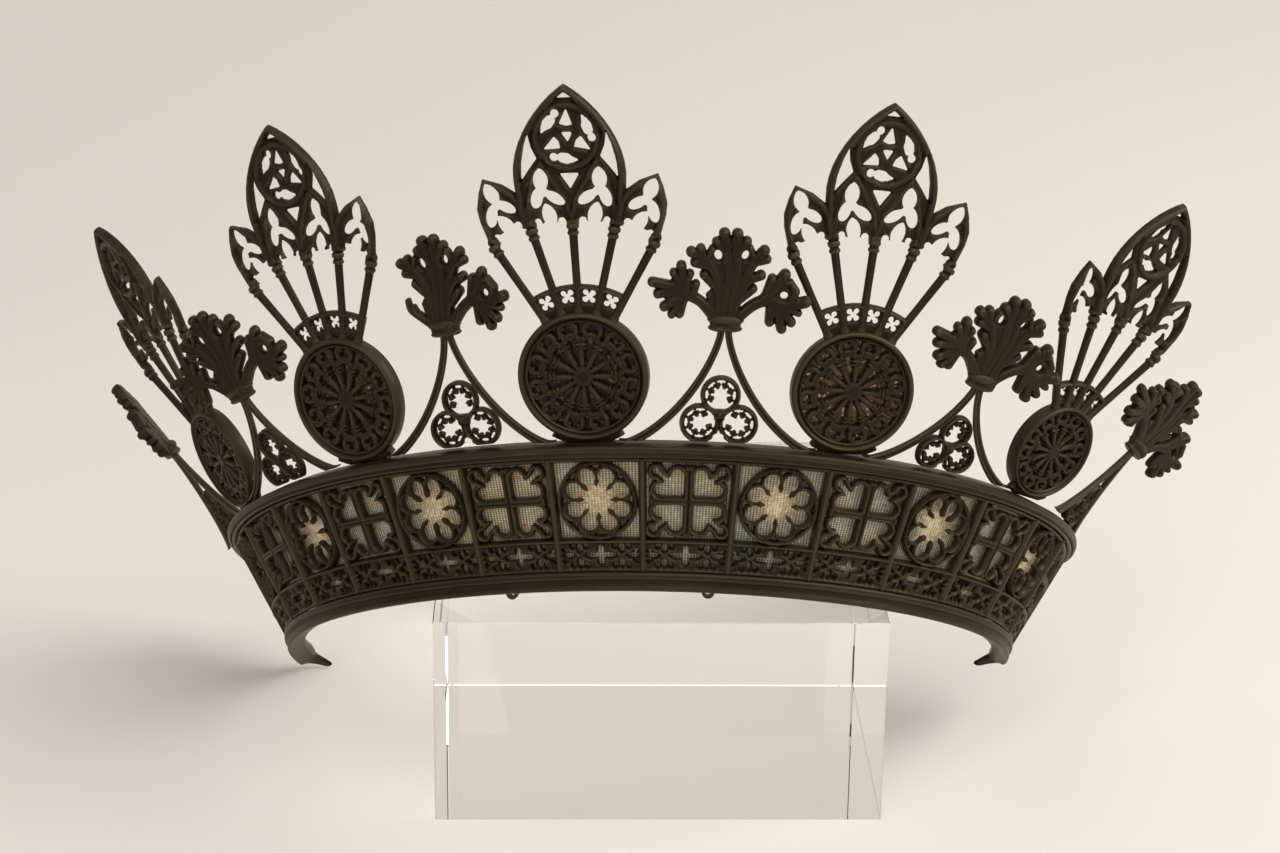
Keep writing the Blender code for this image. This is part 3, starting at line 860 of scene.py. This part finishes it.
def panel_field(tracery):
    """The field of a panel: a tracery over the frieze, inside a frame."""
    def field(x, y):
        half = HALF * (1 + SPREAD * y)
        outer = meet(half - 0.05 - np.abs(x), y + 0.4, PANEL_TOP + 0.4 - y)
        border = join(np.abs(x) - half + 0.75, y - PANEL_TOP + 0.65, 0.5 - y)
        transom = meet(y - TRANSOM_LOW, TRANSOM_HIGH - y)
        ribs = np.where(y < TRANSOM_LOW + 0.1, frieze_ribs(x, y, half), -1.0)
        frieze = pierce(meet(TRANSOM_LOW + 0.3 - y, y), *frieze_holes(x, y, half))
        solid, crests = tracery(x, y - PANEL_MIDDLE)
        depth = meet(join(solid, border, transom, frieze, ribs), outer)
        raised = [0.25 + height * crest(edge, half_width) for edge, half_width, height in crests]
        level = join(
            np.where(y < TRANSOM_LOW, 0.0, 0.35),
            0.55 * rounded(ribs, 0.3),
            0.45 + 0.5 * crest(transom, 0.45),
            0.30 + 0.4 * rounded(border, 0.5),
            np.where(y > TRANSOM_HIGH - 0.4, join(*raised), 0.0),
        )
        return depth, (level + 0.35) * rounded(depth, 0.42) - 0.35, -0.78 + 0.0 * x
    return field


def round_tracery(x, y):
    """A ring round eight lobes that are open to the middle."""
    r = np.hypot(x, y)
    fx, fy = folded(x, y, 8, 0.0)
    light = join(disc(fx, fy, 4.8, 0.0, 1.6), stroke(fx, fy, [(0.0, 0.0), (4.6, 0.0)], 0.9), 2.5 - r)
    lobes = pierce(meet(0.72 + light, 7.55 - r), light)
    ring = meet(7.65 - r, r - 6.75)
    return join(lobes, ring), [(0.72 + light, 0.36, 0.5), (7.65 - r, 0.27, 0.65), (r - 6.7, 0.22, 0.5)]


def cross_tracery(x, y):
    """A cross between four lights with three lobes each."""
    x, y = np.abs(x), np.abs(y)
    light = join(
        region(x, y, [(0.95, 0.85), (5.3, 0.85), (5.0, 3.2), (3.4, 4.7), (0.95, 4.7)]),
        disc(x, y, 2.2, 4.75, 1.25),
        disc(x, y, 5.3, 2.1, 1.2),
        disc(x, y, 6.3, 5.6, 0.72),
        stroke(x, y, [(6.3, 5.6), (4.0, 3.7)], 0.4),
    )
    bars = join(meet(1.0 - x, 6.9 - y), meet(0.9 - y, 7.3 - x))
    solid = pierce(join(meet(0.95 + light, 7.3 - y), bars), light)
    return solid, [(0.95 + light, 0.46, 0.55), (bars, 0.5, 0.5)]


def bent(number):
    """Bends a flat panel drawing onto the band."""
    def change(points):
        x, y, z = points.T
        return band(number * PITCH + x / (1 + SPREAD * y) * MM, (y + PANEL_SEAT) * MM, z * MM)
    return change


patterns = []
for tracery in (round_tracery, cross_tracery):
    patterns.append(Shape().add(*cast(panel_field(tracery), (-9.4, -0.6), (9.4, 22.1), PANEL_CELL)))
for number in range(-PANELS, PANELS + 1):
    node = f"panel_{number + PANELS + 1:02d}"
    patterns[number % 2].piece("band_" + node, IRON, nodes=[node], place=TIARA, change=bent(number))
print("panels:", [len(p.faces) for p in patterns], "faces each")

# %% [markdown]
# ## Rails, mullions and hooks
#
# The rails are long mouldings: a strong roll, a hollow and a bead. Each is one section carried
# along the band. The lower rail runs on at both ends and curls down into a hook.

# %% Rails


def arc(cx, cy, radius, start, end, steps):
    """Points along part of a circle, angles in degrees."""
    return [polar(start + (end - start) * i / steps, radius, cx, cy) for i in range(steps + 1)]


END = (PANELS + 0.5) * PITCH / MM
RAIL_STATIONS = 181
SECTION_MIDDLE = -0.4

top_section = [
    *arc(1.0, 22.48, 0.42, -90, 70, 5), *arc(1.9, 23.08, 0.42, 220, 150, 4),
    *arc(1.12, 23.74, 0.72, -50, 90, 7), (0.2, 24.36), (-0.2, 24.45), (-3.1, 24.45), (-3.4, 24.2),
    (-3.4, 23.4), (-3.0, 23.2), (-2.3, 22.2), (-2.0, 22.06),
]
low_section = [
    (1.2, -3.7), *arc(1.2, -3.1, 0.6, -90, 60, 5), *arc(1.75, -2.05, 0.45, 220, 150, 3),
    *arc(1.0, -1.2, 0.5, -60, 60, 4), (1.25, -0.55), (1.0, -0.25), (-2.0, -0.22), (-2.5, -0.7), (-2.6, -2.2),
    (-2.2, -3.4), (-1.8, -3.7),
]
# How far past the panels, how far forward and up, and at what size the section ends
NOSE = ((0.5, 0.0, 0.0, 0.99), (1.0, 0.0, 0.0, 0.93), (1.4, 0.0, 0.0, 0.8), (1.6, 0.0, 0.0, 0.5))
HOOK = (
    (0.8, 0.0, 0.0, 0.94), (1.6, 0.0, 0.0, 0.8), (2.5, -0.3, -0.3, 0.62), (3.3, -0.7, -0.8, 0.48),
    (3.8, -1.25, -1.4, 0.4), (4.2, -1.9, -2.2, 0.33), (4.3, -2.4, -2.9, 0.28), (4.3, -2.9, -3.4, 0.2),
)


def moulding(name, node, section, tip):
    """A rail: one section carried along the band, and past its ends by the tip's rows."""
    section = np.array(section)
    middle = np.array((SECTION_MIDDLE, section[:, 1].mean()))
    rows = [(-END - past, *rest) for past, *rest in tip[::-1]]
    rows += [(s, 0.0, 0.0, 1.0) for s in np.linspace(-END, END, RAIL_STATIONS)]
    rows += [(END + past, *rest) for past, *rest in tip]
    rings = []
    for s, forward, up, size in rows:
        ring = ((section - middle) * size + middle + (forward, up)) * MM
        rings.append(band(s * MM, ring[:, 1], ring[:, 0]))
    Shape().bars(rings).piece(name, IRON, nodes=[node], place=TIARA, scale=1.0, crease=50)


moulding("moulded_top_rail", "top_rail", top_section, NOSE)
moulding("moulded_bottom_rail", "bottom_rail", low_section, HOOK)

# %% Mullions
MULLION = np.array([(0.62, -0.2), (0.5, 0.45), (0.2, 0.75), (-0.2, 0.75), (-0.5, 0.45), (-0.62, -0.2)])
END_MULLION_INSET = 0.35

mullions = Shape()
for joint in np.arange(-PANELS - 0.5, PANELS + 1):
    s = joint * PITCH / MM
    if abs(joint) > PANELS:
        s -= END_MULLION_INSET * np.sign(s)
    rings = []
    for up in np.linspace(0.1, 21.8, 9):
        rings.append(band((s + MULLION[:, 0] / (1 + SPREAD * up)) * MM, up * MM, (MULLION[:, 1] + 0.25) * MM))
    mullions.bars(rings)
mullions.piece("mullions", IRON, place=TIARA, scale=1.0)
print("rails:", triangles["moulded_top_rail"], triangles["moulded_bottom_rail"], "triangles")

# %% [markdown]
# ## Rods and trefoils
#
# Between the medallions each leaf stands on two curved rods. A trefoil of three cusped rings fills
# the space under them. The rods taper as they rise, and they are ribbed down the middle.

# %% Rods
ROD = 1.65
ROD_TOP = 26.9
ROD_GAP = 1.3
ROD_STEPS = 32
ROD_TAPER = 0.22
ROD_SECTION = (
    (0.0, -0.15), (0.0, 0.4), (0.14, 0.66), (0.32, 0.68), (0.44, 0.46), (0.5, 0.42), (0.56, 0.46), (0.68, 0.68),
    (0.86, 0.66), (1.0, 0.4), (1.0, -0.15), (0.8, -0.68), (0.2, -0.68),
)


def rod(matrix, node, sign, reach, drop):
    """One curved rod from the rail to the collar, in the upright's plane."""
    solid = in_plane(node, matrix)
    foot = solid[solid[:, 0] * sign > 1.0][:, 1].min()
    t = np.arange(ROD_STEPS + 1) / ROD_STEPS
    x = sign * (ROD_GAP + (reach - ROD_GAP) * (1 - t) ** 1.4)
    path = np.stack([x, foot + (ROD_TOP - drop - foot) * t ** 1.43], axis=1)
    along = np.gradient(path, axis=0)
    along /= np.linalg.norm(along, axis=1)[:, None]
    normal = np.stack([-along[:, 1], along[:, 0]], axis=1) * sign
    rings = []
    for i, (point, side) in enumerate(zip(path, normal)):
        share = 1.0 - ROD_TAPER * i / ROD_STEPS
        ring = [(*(point + side * ROD * share * n), z * share) for n, z in ROD_SECTION]
        rings.append([(x, max(y, foot + 0.02 * k), z) for k, (x, y, z) in enumerate(ring)])
    return rings if sign > 0 else [ring[::-1] for ring in rings]


def cusped_ring(u, v, cu, cv, size, skip):
    """The opening of one ring: a circle with little clovers reaching in."""
    hole = disc(u, v, cu, cv, 3.02 * size)
    for petal in range(8):
        angle = math.tau * (petal + 0.5) / 8
        if abs((angle - skip + math.pi) % math.tau - math.pi) < 0.5:
            continue
        c, s = size * math.cos(angle), size * math.sin(angle)
        stem = stroke(u, v, [(cu + 3.4 * c, cv + 3.4 * s), (cu + 2.2 * c, cv + 2.2 * s)], 0.24 * size)
        knobs = [disc(u, v, cu + 1.72 * c, cv + 1.72 * s, 0.42 * size)]
        for k in (-0.43, 0.43):
            knobs.append(disc(u, v, cu + 2.15 * c - k * s, cv + 2.15 * s + k * c, 0.38 * size))
        hole = pierce(hole, join(stem, *knobs))
    return hole


def trefoil_field(size, foot):
    """The field of a trefoil whose foot stands at a given height."""
    low = foot + 3.7 * size
    middle = low + 1.9 * size
    centres = [(0.0, low + 5.85 * size, -90), (-3.83 * size, low, 20), (3.83 * size, low, 160)]

    def field(u, v):
        rings = [disc(u, v, cu, cv, 4.05 * size) for cu, cv, _ in centres]
        boss = 1.1 * size - join(np.abs(u), np.abs(v - middle))
        button = disc(u, v, 0.0, middle, 0.7 * size)
        holes = [cusped_ring(u, v, cu, cv, size, math.radians(skip)) for cu, cv, skip in centres]
        holes.append(meet(oval(u, v, 0.0, foot + size, 1.1 * size, 0.75 * size), v - foot - 0.35))
        depth = join(pierce(meet(join(*rings), v - foot), *holes), boss)
        crests = [0.45 * crest(ring, 0.4 * size) for ring in rings]
        level = 0.7 + join(*crests, 0.6 * rounded(boss, 0.3) + 0.35 * rounded(button, 0.5))
        return depth, level * rounded(depth, 0.34) - 0.4, -0.75 + 0.0 * u

    return field


TREFOIL_CELL = 0.2

for name, (*where, drop, _, _, size, reaches) in LEAVES.items():
    matrix = upright(*where)
    arch = Shape()
    for sign, reach in zip((-1, 1), reaches):
        arch.bars(rod(matrix, "arch_" + name, sign, reach, drop))
    arch.piece("rods_" + name, IRON, nodes=["arch_" + name], place=matrix, crease=60)
    foot = in_plane("trefoil_" + name, matrix)[:, 1].min()
    low, high = (-8.2 * size, foot - 0.3), (8.2 * size, foot + 14.0 * size)
    trefoil = Shape().add(*cast(trefoil_field(size, foot), low, high, TREFOIL_CELL))
    trefoil.piece("cusped_trefoil_" + name, IRON, nodes=["trefoil_" + name], place=matrix)
print("rods and trefoils:", triangles["cusped_trefoil_inner_left"], "triangles in one trefoil")

# %% [markdown]
# ## Leaves
#
# The finials are stiff Gothic leaves. Long ribs rise side by side from a collar, sway a little and
# open into clusters of round lobes, and a smaller leaf springs out and down on either side. Every
# lobe and rib is a tapering stroke with a round back. Where strokes meet they leave the soft
# valleys that a carver would cut. One pattern serves for all six, spread and twisted for each. The
# one left of the middle has broken on the real tiara, and only a stub of its left side is there.

# %% Leaf pattern
# Each rib is a line and its half widths at the foot and the tip
CROWN_RIBS = (
    ([(-0.7, 29.2), (-0.5, 33.0), (0.2, 37.0), (-0.6, 41.2), (-1.15, 45.1)], 0.8, 1.06),
    ([(0.6, 29.2), (1.0, 33.5), (1.6, 37.5), (1.3, 41.5), (1.22, 45.1)], 0.7, 1.06),
    ([(-1.0, 41.8), (-2.4, 43.4)], 0.8, 1.0),
    ([(1.6, 41.8), (3.0, 43.75)], 0.8, 1.0),
    ([(-1.5, 29.2), (-1.4, 33.0), (-2.4, 37.0), (-4.6, 40.0), (-7.4, 41.4)], 0.75, 1.05),
    ([(-4.4, 39.9), (-5.5, 42.0)], 0.7, 1.0),
    ([(-4.2, 40.5), (-3.2, 42.2)], 0.6, 0.7),
    ([(-3.4, 38.6), (-6.5, 39.5)], 0.7, 1.0),
    ([(-1.9, 34.6), (-4.5, 37.3)], 0.7, 1.0),
    ([(1.5, 29.2), (2.0, 33.0), (3.2, 37.0), (5.0, 40.4), (6.6, 42.2)], 0.75, 1.07),
    ([(4.9, 39.8), (7.2, 40.6)], 0.7, 0.9),
    ([(4.6, 41.0), (3.7, 42.6)], 0.6, 0.7),
    ([(2.4, 34.4), (4.2, 36.6), (6.2, 37.6)], 0.7, 1.0),
    ([(2.2, 32.6), (4.8, 35.0)], 0.7, 0.9),
    ([(-1.3, 28.4), (1.3, 28.4)], 1.6, 1.6),
)
LEFT_RIBS = (
    ([(-2.0, 29.3), (-4.8, 32.1), (-7.4, 33.3), (-10.6, 34.8), (-14.9, 35.6)], 1.1, 0.95),
    ([(-7.8, 33.5), (-8.8, 36.2), (-9.2, 38.7)], 0.9, 1.06),
    ([(-9.2, 35.4), (-10.65, 37.4)], 0.7, 0.9),
    ([(-8.2, 35.2), (-7.4, 37.3)], 0.7, 0.9),
    ([(-6.6, 33.3), (-6.1, 35.4)], 0.8, 0.9),
    ([(-10.4, 34.0), (-13.6, 33.5)], 0.8, 1.0),
    ([(-9.0, 33.0), (-12.2, 31.1)], 0.8, 1.0),
    ([(-8.8, 32.6), (-10.6, 29.7)], 0.8, 0.9),
    ([(-8.2, 32.8), (-9.05, 29.9)], 0.8, 1.0),
)
RIGHT_RIBS = (
    ([(2.0, 29.3), (4.8, 31.8), (7.6, 32.9), (11.4, 32.2), (15.3, 33.1)], 1.1, 1.13),
    ([(6.6, 32.9), (8.5, 35.0), (10.95, 37.9)], 0.9, 1.13),
    ([(7.4, 34.2), (8.5, 37.0)], 0.8, 1.0),
    ([(10.4, 36.6), (12.1, 36.6)], 0.6, 0.7),
    ([(12.4, 36.2), (13.2, 34.9)], 0.7, 0.9),
    ([(12.6, 33.2), (13.2, 34.9)], 0.8, 0.9),
    ([(11.6, 31.8), (14.05, 31.0)], 0.7, 0.75),
    ([(10.2, 32.0), (12.7, 29.2)], 0.9, 1.0),
    ([(9.4, 32.2), (10.9, 27.9)], 1.0, 1.05),
    ([(8.4, 32.2), (8.45, 29.05)], 0.9, 1.0),
)
STUB = (
    ([(-2.0, 29.3), (-4.9, 31.1), (-7.0, 32.6), (-7.4, 34.4)], 1.1, 0.5),
    ([(-5.6, 31.8), (-6.2, 33.2)], 0.6, 0.4),
)
# The thin web between the ribs
CROWN_BLADE = [
    (-2.3, 29.0), (-3.6, 32.0), (-4.0, 33.6), (-2.6, 35.0), (-3.4, 37.2), (-4.6, 39.2), (-5.6, 41.0),
    (-4.0, 41.2), (-2.6, 42.6), (-1.6, 44.6), (1.6, 44.8), (3.2, 42.9), (4.8, 41.6), (6.2, 41.2), (5.6, 39.4), (4.6, 38.0),
    (5.2, 37.2), (3.6, 35.4), (4.0, 34.4), (2.6, 32.0), (2.3, 29.0),
]
LEFT_BLADE = [
    (-12.8, 35.0), (-11.4, 35.9), (-9.6, 37.6), (-8.2, 37.0), (-6.6, 35.6), (-6.2, 34.0), (-7.2, 32.4),
    (-8.6, 31.0), (-11.2, 31.0), (-12.4, 32.8),
]
RIGHT_BLADE = [
    (8.0, 34.4), (9.6, 36.4), (11.6, 36.2), (12.8, 34.6), (14.6, 33.6), (13.4, 31.6), (12.2, 30.2),
    (10.8, 29.2), (9.0, 29.8), (7.6, 31.8), (6.4, 33.2),
]
LEAF_HOLES = ((-2.05, 41.0, 0.68, 0.95, -20), (2.9, 41.2, 0.62, 0.85, 20), (11.0, 34.1, 0.78, 0.68, 0))


def leaf_field(u, v, ribs, blades):
    """Depth, front and back of a leaf finial."""
    depth = join(*(region(u, v, blade) for blade in blades))
    swell = 0.35 * rounded(depth, 1.2)
    for path, start, end in ribs:
        if len(path) > 2:
            path = smooth_path(path)
        here = stroke(u, v, path, start, end)
        depth = join(depth, here)
        tip = end * 0.95 * rounded(disc(u, v, *path[-1], end), end)
        swell = join(swell, 0.35 + 0.42 * rounded(here, (start + end) / 2), tip)
    depth = pierce(depth, *(oval(u, v, *hole) for hole in LEAF_HOLES))
    curl = 0.004 * u ** 2 + 0.05 * np.maximum(v - 41.0, 0.0) ** 1.3
    front = curl + (0.45 + swell) * rounded(depth, 0.6)
    back = curl - 0.55 - 0.35 * rounded(depth, 0.6)
    return depth, front, back


def smooth_path(path, steps=4):
    """A smooth line through a few points, a Catmull-Rom curve."""
    points = [np.array(p) for p in path]
    points = [2 * points[0] - points[1]] + points + [2 * points[-1] - points[-2]]
    found = []
    for a, b, c, d in zip(points, points[1:], points[2:], points[3:]):
        for t in np.arange(steps) / steps:
            square, cube = 2 * a - 5 * b + 4 * c - d, 3 * b - a - 3 * c + d
            found.append(tuple(0.5 * (2 * b + (c - a) * t + square * t ** 2 + cube * t ** 3)))
    return found + [tuple(points[-2])]


whole = (CROWN_RIBS + LEFT_RIBS + RIGHT_RIBS, [CROWN_BLADE, LEFT_BLADE, RIGHT_BLADE])
broken = (CROWN_RIBS + STUB + RIGHT_RIBS, [CROWN_BLADE, RIGHT_BLADE])
LEAF_CELL = 0.22
leaf_patterns = []
for parts in (whole, broken):
    leaf_patterns.append(cast(lambda u, v: leaf_field(u, v, *parts), (-16.4, 26.4), (17.2, 47.0), LEAF_CELL))

# %% Leaves in place
COLLAR = (
    (0.0, 0.8), (0.06, 0.95), (0.16, 1.02), (0.34, 0.9), (0.42, 0.86), (0.5, 0.98), (0.66, 1.1), (0.82, 1.04),
    (0.94, 0.86), (1.0, 0.7),
)
COLLAR_RADIUS = 2.9
STEM_HALF = 3.1

for name, (*where, drop, spread, twist, _, _) in LEAVES.items():
    points, faces = leaf_patterns[name == "inner_left"]
    x, side = points[:, 0], np.abs(points[:, 0])
    spread_side = STEM_HALF + (side - STEM_HALF) * np.where(x < 0, *spread)
    x = np.sign(x) * np.where(side < STEM_HALF, side, spread_side)
    leaf = Shape().add(np.column_stack([x, points[:, 1:]]), faces)
    line = [(share, COLLAR_RADIUS * radius) for share, radius in COLLAR]
    collar = Shape().turned((0.0, 26.9, 0.0), (0.0, 30.0, 0.0), line, 28)
    leaf.add(collar.points[0] * (1.08, 1.0, 0.62), collar.faces)
    place = upright(*where) @ Matrix.Translation((0.0, -drop * MM, 0.0))
    place = place @ Matrix.Rotation(math.radians(twist), 4, "Y")
    leaf.piece("carved_leaf_" + name, IRON, nodes=["leaf_" + name], place=place)
print("leaf patterns:", [len(pattern[1]) for pattern in leaf_patterns], "faces")

# %% [markdown]
# ## The lining
#
# Behind the piercings lies a strip of lame: fine ribbons of silver and gold metal, woven with a
# darker thread. Straw rosettes sit behind the round panels, and red threads stray over it. It is
# one sheet, held by the castings, with a weave too fine to model, so its colour and bump carry it.
# Its silver glints are painted into that colour.

# %% Cloth
WARP, WEFT = 0.56, 0.44


def cloth_finish():
    """Woven silver and gold ribbon with painted silver glints, with straw rosettes behind the round panels and
    stray red threads.
    """
    cloth = Finish("woven_metal_cloth", Metallic=0.3)

    def wave(operation, angle):
        return cloth.node("Math", {0: angle}, operation=operation)

    flat = cloth.node("UVMap", output="UV")
    along = cloth.node("SeparateXYZ", {0: flat}, "X")
    height = cloth.node("SeparateXYZ", {0: flat}, "Y")
    warp = wave("SINE", along * (math.tau / WARP)) * 0.5 + 0.5
    weft = wave("SINE", height * (math.tau / WEFT)) * 0.5 + 0.5
    weave = (warp * 0.7 + 0.3) * (weft * 0.55 + 0.45)
    tone = cloth.noise(55.0, 3.0)
    glint_and_straw_speck = cloth.noise(1300.0, 2.0)
    period = 2 * PITCH / MM
    across = cloth.node("Math", {0: along, 1: -period / 2, 2: period / 2}, operation="WRAP")
    rise = height - PANEL_MIDDLE - PANEL_SEAT
    radius = (across * across + rise * rise) ** 0.5
    metal = cloth.blend(cloth.ramp(tone, 0.42, 0.60), (0.62, 0.63, 0.50), (0.88, 0.74, 0.42))
    # Painted glints: near-white specks in the ribbon's colour stand in for light caught by the metal threads.
    metal = cloth.blend(cloth.ramp(glint_and_straw_speck, 0.50, 0.66), metal, (1.0, 0.98, 0.90))
    straw = cloth.blend(cloth.ramp(glint_and_straw_speck, 0.42, 0.62), (0.72, 0.50, 0.27), (1.0, 0.90, 0.66))
    swing = cloth.node("Math", {0: rise, 1: across}, operation="ARCTAN2")
    rays = wave("COSINE", swing * 8.0)
    star = cloth.ramp(radius - rays * 0.9, 4.3, 3.5)
    metal = cloth.blend(star * 0.9, metal, straw)
    lit = cloth.blend(weave, (0.030, 0.024, 0.014), metal)
    lit = cloth.blend(star * 0.35, lit, straw)
    drawn = cloth.node("VectorMath", {0: flat, 1: (0.5, 1.6, 1.0)}, operation="MULTIPLY")
    thread = cloth.ramp(cloth.noise(0.6, 1.0, drawn), 0.68, 0.73)
    cloth.set(Base_Color=cloth.blend(thread * 0.8, lit, (0.50, 0.13, 0.06)), Roughness=0.34 + tone * 0.25)
    cloth.bump(weave, 0.6, 0.12 * MM)
    return cloth.material


# %% Lining
LINING_END = END - 0.2
LINING_LOW, LINING_HIGH = 0.45, 21.7
LINING_FRONT, LINING_BACK = -1.45, -1.75
ups = np.linspace(LINING_LOW, LINING_HIGH, 12)
around = [(up, LINING_FRONT) for up in ups] + [(up, LINING_BACK) for up in ups[::-1]]
stations = np.linspace(-LINING_END, LINING_END, 181)
flat = [(s, up) for s in stations for up, _ in around]

rings = [band(s * MM, np.array(around)[:, 0] * MM, np.array(around)[:, 1] * MM) for s in stations]
lining = Shape().bars(rings).piece("woven_lining", cloth_finish(), "gold_cloth", ["lining"], TIARA, 1.0, 60)
uv = lining.data.uv_layers.new(name="flat")
uv.data.foreach_set("uv", [value for loop in lining.data.loops for value in flat[loop.vertex_index]])
middle_row = band(np.linspace(-LINING_END, LINING_END, 200) * MM, 11.0 * MM, -1.6 * MM)

# %% [markdown]
# ## The block
#
# The stand is a solid block of clear acrylic with polished faces and slightly eased edges. The
# construction solid has that shape already, so it only needs its material. It throws no shadow of
# its own, because clear acrylic passes nearly all the light on. The two half rings under the band
# are finished in the construction as well, and take the iron here.

# %% Block material


def acrylic_finish():
    """Clear acrylic with polished faces, a little dull here and there."""
    clear = Finish("clear_acrylic", Transmission_Weight=1.0, IOR=1.49, Base_Color=(0.995, 0.99, 0.975, 1.0))
    clear.set(Roughness=clear.ramp(clear.noise(25.0, 1.0), 0.55, 0.85) * 0.04)
    return clear.material


for name, finish in {"stand_block": acrylic_finish(), "loop_left": IRON, "loop_right": IRON}.items():
    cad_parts[name].data.materials.clear()
    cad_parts[name].data.materials.append(finish)
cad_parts["stand_block"].visible_shadow = False
block_low, block_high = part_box("stand_block")
print("block:", [round(side / MM, 1) for side in block_high - block_low], "mm")

# %% [markdown]
# ## Floor and light
#
# A seamless pale paper sweep. The largest soft light stands on the right, a weaker one in front and
# one overhead, so that the iron stays dark against the paper and still shows its roll mouldings. Two
# more light the paper behind: the foot of the block mirrors it, and would turn grey without them.

# %% Stage and lights


FLOOR = -0.2 * MM
BACKDROP, BEND_RADIUS = 0.9, 0.9
HALF_WIDTH = 4.0


def sweep():
    """A floor that curves up into a backdrop, a hair below the block so that the two never share a plane."""
    profile = [(-3.0, FLOOR)]
    profile += [polar(angle, BEND_RADIUS, BACKDROP, FLOOR + BEND_RADIUS) for angle in np.arange(-90, 1, 7.5)]
    profile.append((BACKDROP + BEND_RADIUS, 3.0))
    points = [(x, y, z) for y, z in profile for x in (-HALF_WIDTH, HALF_WIDTH)]
    faces = [(2 * i, 2 * i + 1, 2 * i + 3, 2 * i + 2) for i in range(len(profile) - 1)]
    mesh = bpy.data.meshes.new("sweep")
    mesh.from_pydata(points, [], faces)
    mesh.shade_smooth()
    item = bpy.data.objects.new("sweep", mesh)
    bpy.context.scene.collection.objects.link(item)
    paper = Finish("pale_paper", Base_Color=(0.80, 0.765, 0.72, 1.0), Roughness=0.9)
    mesh.materials.append(paper.material)
    item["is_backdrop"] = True


def area_light(name, place, aim, size, power, colour):
    lamp = bpy.data.lights.new(name, "AREA")
    lamp.shape = "RECTANGLE"
    lamp.size, lamp.size_y = size
    lamp.energy = power
    lamp.color = colour
    item = bpy.data.objects.new(name, lamp)
    item.location = place
    item.rotation_euler = (Vector(aim) - Vector(place)).to_track_quat("-Z", "Y").to_euler()
    bpy.context.scene.collection.objects.link(item)


sweep()
area_light("right_softbox", (0.9, -0.1, 0.8), (0.0, 0.0, 0.05), (0.9, 0.7), 8.5, (1.0, 0.98, 0.95))
area_light("front_fill", (-0.5, -1.2, 0.9), (0.0, 0.0, 0.05), (1.2, 0.8), 4.0, (1.0, 0.95, 0.88))
area_light("back_light", (0.3, 1.2, 1.3), (0.0, 0.3, 0.0), (1.8, 0.9), 1.5, (1.0, 0.965, 0.92))
area_light("top_softbox", (0.1, -0.45, 0.9), (0.0, -0.3, 0.0), (0.7, 0.6), 2.6, (1.0, 0.975, 0.94))
area_light("wall_light", (0.0, 0.6, 1.1), (0.0, 1.8, 0.75), (1.4, 0.4), 3.5, (1.0, 0.965, 0.92))
world = bpy.data.worlds.new("studio")
world.use_nodes = True
world.node_tree.nodes["Background"].inputs[0].default_value = (0.98, 0.945, 0.90, 1.0)
world.node_tree.nodes["Background"].inputs[1].default_value = 0.46
bpy.context.scene.world = world
bpy.context.scene.view_settings.view_transform = "Standard"
print("stage and five lights")

# %% [markdown]
# ## Counting up
#
# The triangles are counted, and the bounds of the dressed model are measured.

# %% Finish
print("triangles in all:", sum(triangles.values()), "most in one piece:", max(triangles.values()))
low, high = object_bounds()
